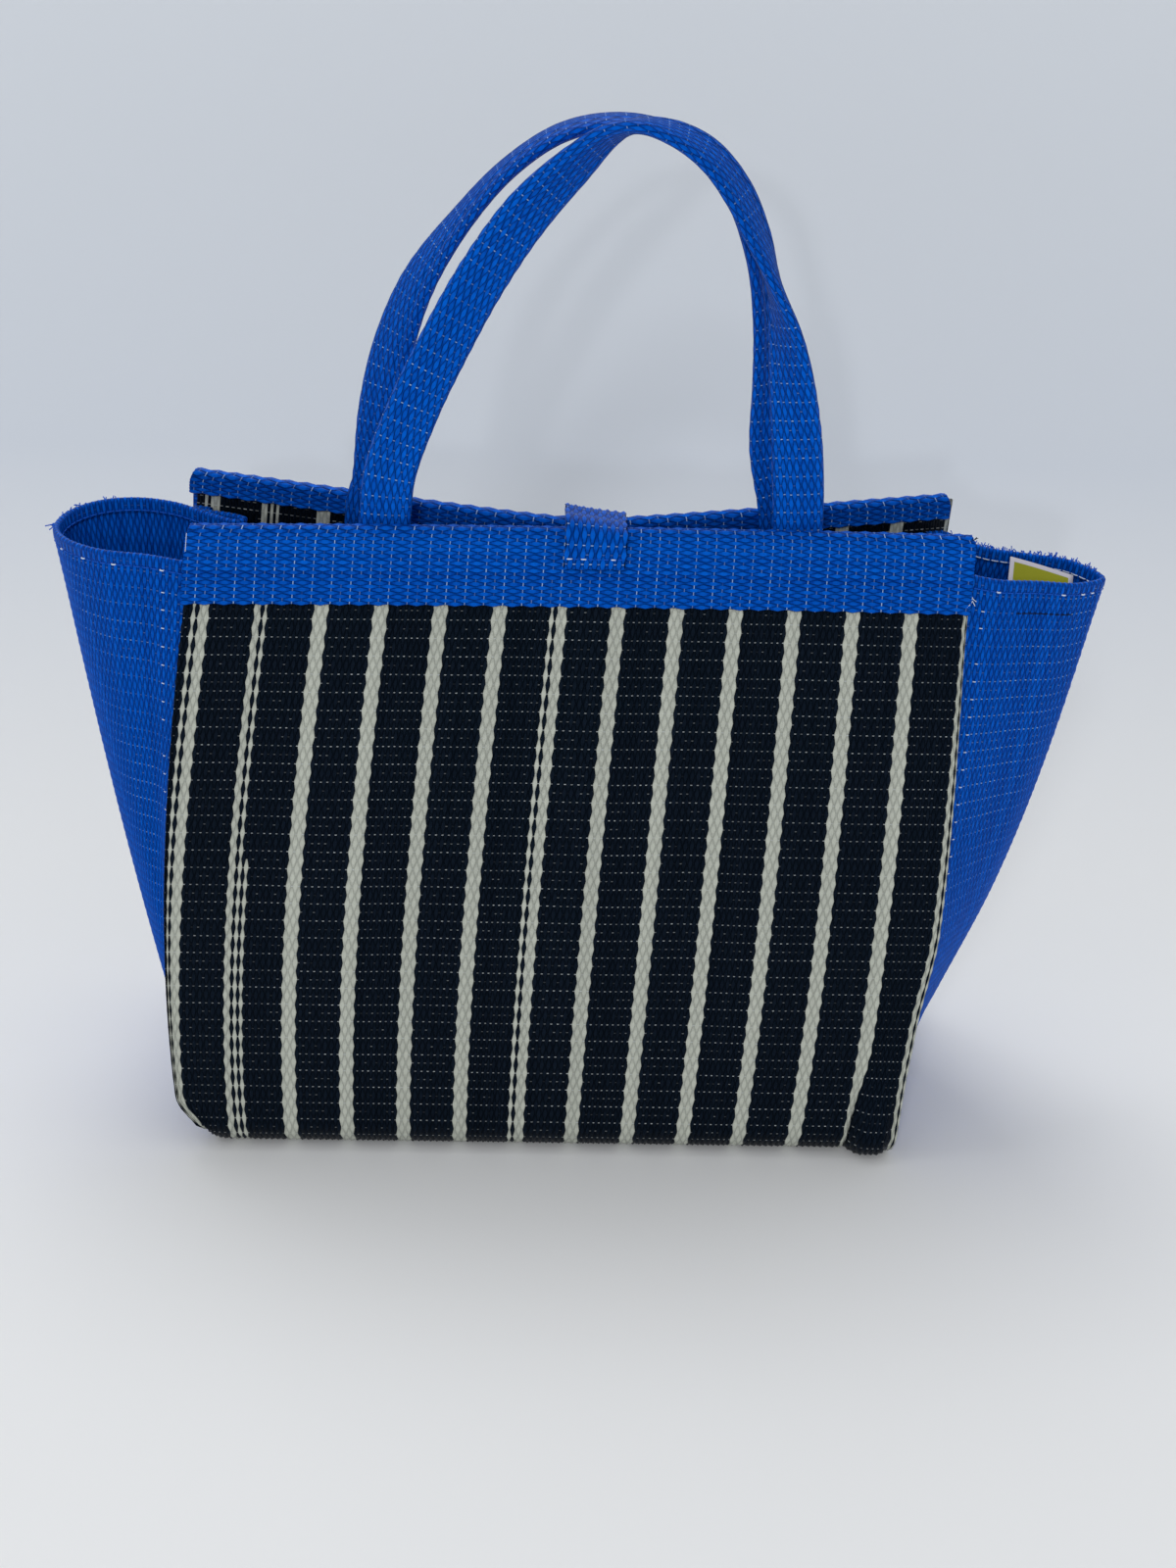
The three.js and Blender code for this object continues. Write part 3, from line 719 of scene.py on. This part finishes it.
# The blue cloth of every other piece is woven like the body's, of cobalt strands with pale blue
# cross threads.
def blue_material(name, faint_rows, tick_reach, patchiness):
    dark = paint("001E78")
    light = paint("0668E0")
    shine = (0.01, 0.15, 0.8, 1)
    thread = paint("BBD8FA")
    return woven_material(
        name, dark, light, thread, dark, light, shine, faint_rows, tick_reach, patchiness,
    )


blue_cloth = blue_material("blue_cloth", 0.3, 0.6, 0.2)
wing_blue = blue_material("wing_blue", 0.3, 0.46, 0.75)
strap_blue = blue_material("strap_blue", 0.25, 0.5, 0.75)


# The wings are the bag's side pieces, which fold outwards. Each is sewn to the body along both
# edges, and the left one has a pleat behind its far wall.
def smooth_line(points, places):
    points = np.asarray(points, float)
    last = len(points) - 1
    padded = np.vstack([2 * points[0] - points[1], points, 2 * points[-1] - points[-2]])
    spot = np.clip(np.asarray(places, float), 0, 1) * last
    index = np.minimum(spot.astype(int), last - 1)
    share = (spot - index)[:, None]
    a, b, c, d = (padded[index + offset] for offset in range(4))
    steps = [
        np.maximum(np.linalg.norm(after - before, axis=1, keepdims=True) ** 0.5, 1e-4)
        for before, after in ((a, b), (b, c), (c, d))
    ]
    start_turn = ((b - a) / steps[0] - (c - a) / (steps[0] + steps[1]) + (c - b) / steps[1]) * steps[1]
    end_turn = ((c - b) / steps[1] - (d - b) / (steps[1] + steps[2]) + (d - c) / steps[2]) * steps[1]
    cubic = 2 * b - 2 * c + start_turn + end_turn
    square = -3 * b + 3 * c - 2 * start_turn - end_turn
    return b + share * (start_turn + share * (square + share * cubic))


def even_line(points, count_places):
    fine = smooth_line(points, np.linspace(0, 1, 700))
    run = run_along(fine)
    return points_at(count_places * run[-1], run, fine)


layer_gap = 0.3
seam_clearance = 0.95
seam_allowance = 7
corner_inset = 0.9
band_inner_depth = 10.5
gusset_bottom = cloth_thickness + layer_gap
gusset_offset = cloth_thickness + seam_clearance
seam_top = rim_height - band_inner_depth - 2 * layer_gap
left_wing = {
    "name": "left_gusset",
    "side": -1,
    "bulge": -1.5,
    "rim": [
        (14, -25.5, 1, 0.5), (30.5, -20, 0.5, 0.8), (44, -8, 0, 1), (49.5, 5, 0, 1), (47, 18, 1, 1),
        (38, 27, 2, 0.9), (25.5, 31, 2, 0.8), (12.5, 28.5, 1.5, 0.6), (1, 22, 0.5, 0.3),
        (-10.5, 15.5, 0, 0), (-12.5, 18, 0, 0), (-7, 22, 0, 0), (3.5, 26, 0, 0.1),
    ],
}
right_wing = {
    "name": "right_gusset",
    "side": 1,
    "bulge": 7.5,
    "rim": [
        (11, -21, -2.5, 0.6), (26, -16, -4.5, 0.8), (41, -10, -7, 1), (51.5, -1, -7.5, 1),
        (42, 9.5, -5.5, 1), (28, 14, -5, 0.8), (13, 17.5, -4, 0.6),
    ],
}


def seam_y(side, across, z):
    if z >= bend_top:
        return wall_y(side, across, z) - side * gusset_offset
    middle = wall_y(side, across, bend_top) - side * bend_radius
    squared = (bend_radius - gusset_offset) ** 2 - (bend_top - z) ** 2
    return middle + side * math.sqrt(max(0, squared))


def wing_line(wing, share):
    side = wing["side"]
    z = lerp(gusset_bottom, seam_top, share)

    def seam(wall):
        ends = []
        for inset in (seam_allowance, seam_allowance / 2, corner_inset * 2, corner_inset):
            x = float(panel_x(wall, side, z)) - side * inset
            ends.append((x, float(seam_y(wall, across_at(wall, x, z), z)), z))
        return ends

    base_x = side * (base_half_width - corner_inset)
    base_front = float(seam_y(-1, side, gusset_bottom))
    base_back = float(seam_y(1, side, gusset_bottom))
    middle = []
    for place, (outwards, y, rise, bulge_share) in enumerate(wing["rim"]):
        x = rim_shift + side * (rim_half_width + outwards)
        base_y = lerp(base_front, base_back, (place + 1) / (len(wing["rim"]) + 1))
        bulge = (side_swell + wing["bulge"] * bulge_share) * float(swell(share))
        middle.append((
            lerp(base_x, x, share) + side * bulge,
            lerp(base_y, y, share),
            lerp(gusset_bottom, seam_top + rise, share),
        ))
    return seam(-1) + middle + seam(1)[::-1]


blue_pitch = 1.15


def level(vectors):
    flat = vectors.copy()
    flat[..., 2] = 0
    return unit(flat)


stitch_depth = 3.4
hem_gap = 0.35
hem_fold = 1.05
hem_wefts = 1.5
foot_height = 32
foot_narrowing = 0.07
foot_pull = corner_tuck - 0.5
stitch_groove = 0.3
rim_relief = 0.35
hem_middle = cloth_half + hem_gap - hem_fold


def wing_cloth(wing):
    length = float(run_along(even_line(wing_line(wing, 1), np.linspace(0, 1, 400)))[-1])
    strands = round(length / blue_pitch)
    columns = weave_steps(strands)
    wefts = round((seam_top - gusset_bottom) / weft_pitch)
    near_rim = np.arange(0, hem_wefts, 0.25)
    steps = np.concatenate([near_rim, np.arange(hem_wefts, wefts + 0.25, 0.5)])
    shares = 1 - steps / wefts
    middle = np.stack([even_line(wing_line(wing, share), columns / strands) for share in shares])
    down = steps * weft_pitch
    foot = smooth(foot_height, 0, middle[..., 2])
    middle[..., 2] -= (hem_fold * smooth(20, 0, down))[:, None]
    middle[..., 2] += corner_lift * foot
    middle[..., 1] *= 1 - foot_narrowing * foot
    middle[..., 0] -= wing["side"] * foot_pull * foot ** 2 * near_corner(middle[..., 1])
    if wing["side"] > 0:
        pull = crease_hide(middle[..., 2]) + 0.5 * pulled_in(middle[..., 2])
        middle[..., 0] -= pull * smooth(25, -35, middle[..., 1])
    normals = level(grid_normals(middle)) * wing["side"]
    puff = hem_gap * smooth(stitch_depth, stitch_depth - 1.2, down)
    groove = stitch_groove * np.exp(-((down - stitch_depth) / 0.5) ** 2)
    outer = middle + normals * (cloth_half + puff - groove)[:, None, None]
    inner = middle - normals * cloth_half

    turns = np.linspace(0, math.pi, 7)
    fold = [
        middle[0] + normals[0] * (hem_middle + hem_fold * math.cos(turn)) + [0, 0, hem_fold * math.sin(turn)]
        for turn in turns
    ]
    fold_wefts = -turns * hem_fold / weft_pitch
    inset = hem_middle - hem_fold
    lining = [middle[row] + normals[row] * (inset + groove[row]) for row in range(1, len(near_rim))]
    below = len(near_rim) - 1
    hem = np.stack(fold + lining + [inner[below]])
    lining_wefts = fold_wefts[-1] - near_rim[1:]
    hem_steps = np.concatenate([fold_wefts, lining_wefts, lining_wefts[-1:] - 0.3])
    calm = lerp(rim_relief, 1, smooth(0, 5, down))[:, None]

    inside_out = wing["side"] < 0
    sheets = [
        sheet_of(outer, columns, steps, calm, inside_out),
        sheet_of(hem, columns, hem_steps, rim_relief, not inside_out, None, 0.7),
        sheet_of(inner[below:], columns, steps[below:], 0.6, not inside_out, None, 1.0),
    ]
    name = wing["name"]
    cloth = woven_piece(name + "_cloth", sheets, wing_blue, "blue_cloth", name, weave_depth=0.18, spread=0.2)
    cells = np.cross(np.diff(middle, axis=0)[:, :-1], np.diff(middle, axis=1)[:-1])
    area = float(np.linalg.norm(cells, axis=-1).sum())
    flat = (length / 1000, (seam_top - gusset_bottom) / 1000)
    area = min(area / 1e6, flat[0] * flat[1])
    return {"middle": middle, "normals": normals}


for wing in (left_wing, right_wing):
    wing.update(wing_cloth(wing))


# The hems are sewn with a lockstitch, whose blue and white threads show outside and inside. The
# cut strands stick out of the folds as short hairs. Every thread is a thin tube along a line.
def thread_tree():
    tree, given = new_tree("threads", {"Radius": 0.0002})
    line = add_node(tree, "GeometryNodeMeshToCurve", {0: given["Geometry"]}).outputs[0]
    ring = add_node(tree, "GeometryNodeCurvePrimitiveCircle", {"Resolution": 6, "Radius": given["Radius"]})
    tube = add_node(tree, "GeometryNodeCurveToMesh", {
        "Curve": line,
        "Profile Curve": ring.outputs[0],
        "Fill Caps": True,
    })
    return finish_tree(tree, tube.outputs[0], given["Cloth"])


thread_tubes = thread_tree()


def threads(name, lines, radius, material):
    points = np.concatenate(lines) / 1000
    edges = []
    start = 0
    for line in lines:
        edges += [(start + step, start + step + 1) for step in range(len(line) - 1)]
        start += len(line)
    mesh = bpy.data.meshes.new(name)
    mesh.from_pydata(points.tolist(), edges, [])
    mesh.materials.append(material)
    made = bpy.data.objects.new(name, mesh)
    bpy.context.collection.objects.link(made)
    run_nodes(made, thread_tubes, {"Radius": radius / 1000, "Cloth": material})
    dress(made, "blue_cloth")


def thread_material(name, code):
    material, _, shader = new_material(name, 0.55, 0.15)
    shader.inputs["Base Color"].default_value = paint(code)
    return material


blue_thread = thread_material("blue_thread", "1458C4")
white_thread = thread_material("white_thread", "D5E1F2")
black_thread = thread_material("black_thread", "04122E")


def stitches(line, normals, pitch, length, lift):
    run = run_along(line)

    def spot(place, height):
        return points_at(place, run, line) + points_at(place, run, normals) * height

    starts = np.arange(pitch * 0.3, run[-1] - length, pitch)
    return [np.array([
        spot(place, -0.1),
        spot(place + length * 0.2, lift),
        spot(place + length * 0.8, lift),
        spot(place + length, -0.1),
    ]) for place in starts]


chance = np.random.default_rng(21)
stitch_pitch = 3.1
white_share = 0.22
fleck_inset = 14
fleck_share = 0.85
fleck_first = 10
fleck_last = 30
thread_outside = 0.75
thread_inside = 1.15
fleck_outside = 0.95
for wing in (left_wing, right_wing):
    row = round(4 * stitch_depth / weft_pitch)
    line = wing["middle"][row]
    face = wing["normals"][row]
    outside = stitches(line + face * thread_outside, face, stitch_pitch, length=2.3, lift=0.2)
    within = stitches(line - face * thread_inside, -face, stitch_pitch, length=2.5, lift=0.3)
    whites = stitches(line + face * thread_outside, face, pitch=4.3, length=1.4, lift=0.3)
    white = [stitch for stitch in whites if chance.random() < white_share]
    threads(wing["name"] + "_thread", outside, 0.17, blue_thread)
    threads(wing["name"] + "_thread_within", within, 0.2, white_thread if wing["side"] > 0 else blue_thread)
    threads(wing["name"] + "_thread_white", white, 0.26, white_thread)
    column = 2 * round(fleck_inset / blue_pitch) + 1
    flecks = []
    for fleck_row in range(fleck_first, len(wing["middle"]) - fleck_last, 4):
        spot = wing["middle"][fleck_row][column - 1:column + 2]
        if chance.random() < fleck_share:
            flecks.append(spot + wing["normals"][fleck_row][column] * fleck_outside)
    threads(wing["name"] + "_flecks", flecks, 0.17, white_thread)


def hairs(line, ups, count, longest, seed):
    random = np.random.default_rng(seed)
    steps = np.array([[0], [0.35], [0.7], [1]])
    made = []
    for _ in range(count):
        place = random.random() * (len(line) - 1)
        root = points_at(place, range(len(line)), line)
        way = ups + random.normal(0, 0.5, 3)
        way = way / np.linalg.norm(way)
        bend = random.normal(0, 0.35, 3)
        reach = longest * (0.35 + 0.65 * random.random())
        made.append(root + way * reach * steps + bend * reach * steps ** 2)
    return made


tip = left_wing["middle"][0]
tip_line = tip[np.sort(np.argsort(tip[:, 0])[:4])] + [-0.6, 0, 0.6]
left_hairs = hairs(tip_line, [-1.0, -0.5, 0.2], count=5, longest=2.8, seed=5)
on_fold = [0, 0.4, 0.9]


def rim_part(rim, start, end):
    return rim[round(start * len(rim)):round(end * len(rim))]


left_far = rim_part(tip, 0.42, 0.56) + on_fold
left_hairs += hairs(left_far, [0, 0.4, 1.0], count=14, longest=1.2, seed=6)
threads("left_wing_hairs", left_hairs, 0.2, blue_thread)
right_far = rim_part(right_wing["middle"][0], 0.52, 0.93) + on_fold
right_hairs = hairs(right_far, [0, 0.4, 1.0], count=120, longest=1.4, seed=7)
threads("right_wing_hairs", right_hairs, 0.18, blue_thread)
seam_row = 10
seam_face = rim_part(right_wing["normals"][seam_row], 0.2, 0.4)
seam_line = rim_part(right_wing["middle"][seam_row], 0.2, 0.4) + seam_face * 0.6
dark_seam = stitches(seam_line, seam_face, pitch=2.6, length=2.4, lift=0.15)
threads("right_wing_seam", dark_seam, 0.22, black_thread)


# The bands are strips of the blue cloth folded over each rim and sewn down, with their strands
# running along the rim.
band_outer_depth = 24
rib_height = 0.3
band_outside = cloth_thickness + rib_height + layer_gap
band_inside = cloth_thickness + layer_gap
band_turn = (band_outside + band_inside) / 2
band_turn_length = math.pi * band_turn
band_length = band_inner_depth + band_turn_length + band_outer_depth
band_strand_pitch = 1.115
band_half = 0.45 * cloth_thickness
fold_rounding = 0.012
fold_reach = 2.6
band_left = -1.004
band_right = {-1: 1.016, 1: 1.004}


def band_line(side, across, around):
    if around <= band_inner_depth:
        return wall_point(side, across, rim_height - band_inner_depth + around, -band_inside)
    down = around - band_inner_depth - band_turn_length
    if down >= 0:
        return wall_point(side, across, rim_height - down, band_outside)
    angle = -down / band_turn
    rim = wall_point(side, across, rim_height, 0)
    outwards = wall_point(side, across, rim_height, 1) - rim
    upwards = unit(rim - wall_point(side, across, rim_height - 1, 0))
    out_reach = (band_outside - band_inside) / 2 + band_turn * math.cos(angle)
    return rim + outwards * out_reach + upwards * band_turn * math.sin(angle)


def band_cloth(name, side, hidden_depth):
    strands = round((band_length - hidden_depth) / band_strand_pitch)
    wefts = round(2 * rim_half_width / weft_pitch)
    columns = weave_steps(strands)
    steps = weave_steps(wefts)
    rim_around = band_inner_depth + band_turn_length / 2
    lines = []
    for around in lerp(hidden_depth, band_length, columns / strands):
        rounding = fold_rounding * math.exp(-((around - rim_around) / fold_reach) ** 2)
        across = lerp(band_left + rounding, band_right[side] - rounding, steps / wefts)
        lines.append(band_line(side, across, around))
    middle = np.stack(lines, 1)
    turned = grid_normals(middle)
    faces_out = float((turned[0, -1] * strip_normal(-1.0, 0.1 if side < 0 else 4.9)).sum())
    sign = 1 if faces_out > 0 else -1
    outer = middle + turned * sign * band_half
    inner = middle - turned * sign * band_half
    sheets = [
        sheet_of(outer, columns, steps, 1, sign < 0),
        sheet_of(inner[:, ::2], columns[::2], steps, 0, sign > 0),
    ]
    for row in (0, -1):
        edge = np.stack([inner[row], outer[row]], 0)
        sheets.append(sheet_of(edge, columns, np.array([0, 0.2]), 0, (row == 0) == (sign > 0)))
    cloth = woven_piece(name + "_cloth", sheets, blue_cloth, "blue_cloth", name)


band_cloth("front_band", -1, 0)
band_cloth("back_band", 1, 4)
band_top = band_inner_depth + band_turn_length / 2
left_around = np.linspace(band_top + 3, band_top + 9, 14)
left_edge = np.stack([band_line(-1, -0.999, around) for around in left_around])
threads("front_band_edge", [left_edge + [0, -0.75, 0.2]], 0.12, white_thread)
right_around = np.linspace(band_length - 6, band_length - 1, 6)
right_edge = np.stack([band_line(-1, 1.018, around) for around in right_around])
fray = hairs(right_edge, [0.3, -0.3, -0.9], count=4, longest=2.6, seed=8)
threads("front_band_fray", fray, 0.14, white_thread)
corner = np.stack([band_line(-1, across, band_top + 1.5) for across in (0.985, 0.995, 1.005, 1.012)])
corner_hairs = hairs(corner, [0.3, -0.5, 0.8], count=9, longest=1.4, seed=9)
threads("front_band_corner", corner_hairs, 0.14, black_thread)


# The handles are straps of the blue cloth folded to a thick, round-edged section and sewn inside
# the bands. They lean together and cross near the top.
handle_width = 17
handle_thickness = 4
foot_depth = 24
handle_span = 136
front_arch = [
    (-0.978, 0.135, 2), (-0.868, 0.3, 5), (-0.728, 0.457, 8), (-0.551, 0.63, 12), (-0.346, 0.787, 22),
    (-0.132, 0.905, 42), (0.022, 0.976, 64), (0.147, 1, 84), (0.316, 0.984, 102), (0.481, 0.935, 114),
    (0.62, 0.849, 118), (0.732, 0.736, 111), (0.81, 0.63, 90), (0.876, 0.512, 60), (0.928, 0.37, 35),
    (0.972, 0.205, 12),
]
back_arch = [
    (-0.995, 0.05, -17), (-0.963, 0.25, -26), (-0.9, 0.428, -42), (-0.782, 0.592, -56),
    (-0.59, 0.745, -75), (-0.365, 0.88, -84), (-0.12, 0.97, -88), (0.12, 1, -90), (0.34, 0.986, -88),
    (0.54, 0.93, -84), (0.7, 0.824, -82), (0.815, 0.68, -76), (0.888, 0.53, -58), (0.93, 0.37, -38),
    (0.95, 0.19, -22),
]
foot_offset = band_inside + cloth_thickness / 2 + rib_height + seam_clearance + handle_thickness / 2


def handle_route(wall, centre, rise, crown_y, arch):
    def foot(side, z):
        across = across_at(wall, centre + side * handle_span / 2, rim_height)
        point = wall_point(wall, across, z, -foot_offset)
        face = (wall_point(wall, across, z, 0) - point) * -wall
        return point, math.degrees(math.atan2(-side * face[0], -face[1]))

    points = [foot(-1, rim_height - foot_depth), foot(-1, rim_height)]
    for across, up, twist in arch:
        foot_y = foot(math.copysign(1, across), rim_height)[0][1]
        lean = lerp(foot_y, crown_y, float(smooth(0, 1, up)))
        points.append(((centre + across * handle_span / 2, lean, rim_height + up * rise), twist))
    points += [foot(1, rim_height), foot(1, rim_height - foot_depth)]
    places = np.linspace(0, 1, 1200)
    line = smooth_line([point for point, _ in points], places)
    twists = smooth_line([(twist, 0, 0) for _, twist in points], places)[:, 0]
    return line, twists, run_along(line)


strap_thickness = 5
groove_depth = 0.22
groove_place = -0.5
groove_reach = 0.09


def strap_section(count):
    turn = np.linspace(0, 2 * math.pi, count + 1)
    wide = -np.cos(turn)
    edge = np.abs(wide)
    thick = np.sign(np.sin(turn)) * np.power(np.maximum(1 - edge ** 3, 0), 0.4)
    groove = groove_depth * np.exp(-((wide - groove_place) / groove_reach) ** 2)
    fine = np.stack([wide * handle_width / 2, thick * (1 - groove) * strap_thickness / 2], 1)
    return fine, run_along(fine)


def handle_cloth(name, wall, centre, rise, crown_y, arch):
    line, twists, run = handle_route(wall, centre, rise, crown_y, arch)
    length = float(run[-1])
    wefts = round(length / weft_pitch)
    steps = weave_steps(wefts)
    spots = steps / wefts * length
    middle = points_at(spots, run, line)
    twist = np.radians(np.interp(spots, run, twists))[:, None]
    tangent = unit(np.gradient(middle, axis=0))
    ahead = np.array([0, -1, 0])
    outwards = unit(ahead - tangent * (tangent @ ahead)[:, None])
    inwards = np.cross(tangent, outwards)
    face = outwards * np.cos(twist) + inwards * np.sin(twist)
    widthways = np.cross(face, tangent)
    section, around = strap_section(720)
    strands = 2 * round(float(around[-1]) / blue_pitch / 2)
    columns = weave_steps(strands)
    places = columns / strands * around[-1]
    wide = np.interp(places, around, section[:, 0])
    thick = np.interp(places, around, section[:, 1])
    shell = middle[:, None] + widthways[:, None] * wide[:, None] + face[:, None] * thick[:, None]
    sheets = [sheet_of(shell, columns, steps, 1, True)]
    cloth = woven_piece(
        name + "_cloth", sheets, strap_blue, "blue_cloth", name, strand_height=0.2, weave_depth=0.22,
    )


handle_cloth("front_handle", -1, 11.5, 129, -14, front_arch)
handle_cloth("back_handle", 1, 6.5, 127, 4.5, back_arch)


# The tab is a short strap from the inside of the back rim over the front rim, where a
# hook-and-loop patch holds it.
tab_width = 20
tab_thickness = 2
tab_centre = 12.5
tab_front_depth = 10.5
tab_back_depth = 22
tab_crown = 3.6
tab_slope = 3
tab_hem = 3.1
tab_hem_puff = 0.3
tab_hem_groove = 0.35
tab_half = 0.42 * tab_thickness
patch_thickness = 1
band_face = band_outside + cloth_thickness / 2 + rib_height
loop_offset = band_face + layer_gap + patch_thickness / 2
hook_offset = loop_offset + patch_thickness + layer_gap
tab_offset = hook_offset + patch_thickness / 2 + layer_gap + tab_thickness / 2
tab_back_offset = band_face + seam_clearance + tab_thickness / 2


def tab_line(x, places):
    front = across_at(-1, x, rim_height)
    back = across_at(1, x, rim_height)
    front_top = wall_point(-1, front, rim_height, tab_offset)
    back_top = wall_point(1, back, rim_height, tab_back_offset)

    def crown(share):
        slope = tab_slope * (x - tab_centre) / tab_width
        return (x, lerp(front_top[1], back_top[1], share), rim_height + tab_crown - slope)

    return even_line([
        wall_point(-1, front, rim_height - tab_front_depth, tab_offset),
        wall_point(-1, front, rim_height - tab_front_depth / 2, tab_offset),
        front_top,
        crown(0.2),
        crown(0.55),
        crown(0.88),
        back_top,
        wall_point(1, back, rim_height - tab_back_depth / 2, tab_back_offset),
        wall_point(1, back, rim_height - tab_back_depth, tab_back_offset),
    ], places)


tab_strands = 15
tab_length = float(run_along(tab_line(tab_centre, np.linspace(0, 1, 100)))[-1])
tab_wefts = round(tab_length / weft_pitch)
tab_columns = weave_steps(tab_strands)
tab_steps = weave_steps(tab_wefts)
tab_middle = np.stack([
    tab_line(tab_centre - tab_width / 2 + column / tab_strands * tab_width, 1 - tab_steps / tab_wefts)
    for column in tab_columns
], 1)
tab_normals = grid_normals(tab_middle)
tab_up = (tab_wefts - tab_steps) * weft_pitch
tab_groove = tab_hem_groove * np.exp(-((tab_up - tab_hem) / 0.8) ** 2)
tab_puff = tab_hem_puff * smooth(tab_hem, tab_hem - 1, tab_up) - tab_groove
tab_outer = tab_middle + tab_normals * (tab_half + tab_puff)[:, None, None]
tab_inner = tab_middle - tab_normals * tab_half
tab_sheets = [
    sheet_of(tab_outer, tab_columns, tab_steps, 1),
    sheet_of(tab_inner, tab_columns, tab_steps, 0, True),
]
for column in (0, -1):
    tab_edge = np.stack([tab_inner[:, column], tab_outer[:, column]], 1)
    tab_sheets.append(sheet_of(tab_edge, np.array([0, 1]), tab_steps, 0, column == -1))
for row in (0, -1):
    tab_edge = np.stack([tab_inner[row], tab_outer[row]], 0)
    tab_sheets.append(sheet_of(tab_edge, tab_columns, np.array([0, 0.5]), 0, row == -1))
tab = woven_piece(
    "closure_tab_cloth",
    tab_sheets,
    strap_blue,
    "blue_cloth",
    "closure_tab",
    strand_height=0.36,
    weave_depth=0.28,
)
hem_row = -1 - round(2 * tab_hem / weft_pitch)
tab_stitches = stitches(tab_outer[hem_row], tab_normals[hem_row], pitch=2.4, length=1.8, lift=0.25)
threads("closure_tab_thread", tab_stitches, 0.2, blue_thread)
threads("closure_tab_thread_white", [tab_stitches[place] for place in (0, 2, 6)], 0.26, white_thread)


# The hook and loop patches are two squares of black pile under the tab.
pile, pile_tree, pile_shader = new_material("black_pile", 0.95, 0.2)
pile_place = add_node(pile_tree, "ShaderNodeTexCoord", {}).outputs["Object"]
pile_noise = add_node(pile_tree, "ShaderNodeTexNoise", {"Vector": pile_place, "Scale": 2400})
pile_colour = colour_ramp(pile_tree, pile_noise.outputs["Fac"], [(0, "0B0D12"), (1, "2A2D36")])
pile_tree.links.new(pile_colour, pile_shader.inputs["Base Color"])
patch_width = 15
patch_depth = 8
nap_height = 0.05
patch_top = rim_height - (tab_front_depth - patch_depth) / 2


def flat_piece(name, middle, normals, half, material):
    rows, columns = middle.shape[:2]
    face = (middle + normals * half).reshape(-1, 3)
    back = (middle - normals * half).reshape(-1, 3)
    index = np.arange(rows * columns).reshape(rows, columns)
    rim = np.concatenate([index[0], index[1:, -1], index[-1, -2::-1], index[-2:0:-1, 0]])
    around = np.stack([rim, np.roll(rim, -1), np.roll(rim, -1) + rows * columns, rim + rows * columns], 1)
    back_faces = grid_faces(rows, columns, True) + rows * columns
    faces = np.concatenate([grid_faces(rows, columns), back_faces, around])
    return mesh_object(name, np.concatenate([face, back]), faces.tolist(), material)


patch_x = np.linspace(tab_centre - patch_width / 2, tab_centre + patch_width / 2, 31)
patch_z = np.linspace(patch_top, patch_top - patch_depth, 17)
for node, offset in (("loop_patch", loop_offset), ("hook_patch", hook_offset)):
    patch = np.stack([wall_point(-1, across_at(-1, patch_x, rim_height), z, offset) for z in patch_z])
    patch_normals = grid_normals(patch)
    nap = np.random.default_rng(len(node)).normal(0, nap_height, patch.shape[:2])
    patch += patch_normals * nap[..., None]
    made = flat_piece(node + "_pile", patch, patch_normals, patch_thickness / 2, pile)
    dress(made, "hook_and_loop", node)


# The label is a plain woven flag inside the right wing: a pale border round a plain yellow-green
# field. Its lower edge is sewn to the near wall, and it leans across the opening.
label_width = 24
label_height = 17
label_half = 0.25
label_border = 1.6
label_inset = 3
label_curl = 1.2
label_place = 0.36
label_drop = 12.5
label_lean = 0.85
label_tilt = math.radians(23)
label_stand_off = 3.6
label_shift = 3.5
label_tape, label_tree, label_shader = new_material("label_tape", 0.7, 0.1)
label_mix = add_node(label_tree, "ShaderNodeMix", {
    "Factor": add_node(label_tree, "ShaderNodeAttribute", {}, attribute_name="field").outputs["Fac"],
    "A": paint("BCB9C2"),
    "B": paint("8E9026"),
}, data_type="RGBA")
label_tree.links.new(label_mix.outputs["Result"], label_shader.inputs["Base Color"])
label_line = wing_line(right_wing, 1 - label_drop / seam_top)
label_first, label_next = smooth_line(label_line, [label_place, label_place + 0.03])
along = level(label_next - label_first)
inwards = np.array([-along[1], along[0], 0])
upwards = unit(np.array([0, 0, 1]) + inwards * label_lean)
tilted_along = along * math.cos(label_tilt) - upwards * math.sin(label_tilt)
tilted_up = upwards * math.cos(label_tilt) + along * math.sin(label_tilt)
label_start = label_first + along * label_shift + inwards * label_stand_off - tilted_along * label_width / 2


def label_steps(size, count):
    field = np.linspace(label_inset, size - label_inset, count)
    return np.array([0, label_border, *field, size - label_border, size])


label_columns = label_steps(label_width, 12)
label_rows = label_steps(label_height, 8)
label_points = label_start + tilted_along * label_columns[None, :, None]
label_points = label_points + tilted_up * (label_height - label_rows)[:, None, None]
curl = label_curl * np.sin(np.pi * label_columns / label_width) * (1 - label_rows[:, None] / label_height)
label_points = label_points + inwards * curl[..., None]
label = flat_piece("label_flag", label_points, grid_normals(label_points), label_half, label_tape)
cells = np.zeros((len(label_rows) - 1, len(label_columns) - 1))
cells[1:-1, 1:-1] = 1
in_field = np.zeros(len(label.data.polygons))
in_field[:2 * cells.size] = np.tile(cells.ravel(), 2)
label.data.attributes.new("field", "FLOAT", "FACE").data.foreach_set("value", in_field)
dress(label, "label_tape", "label")
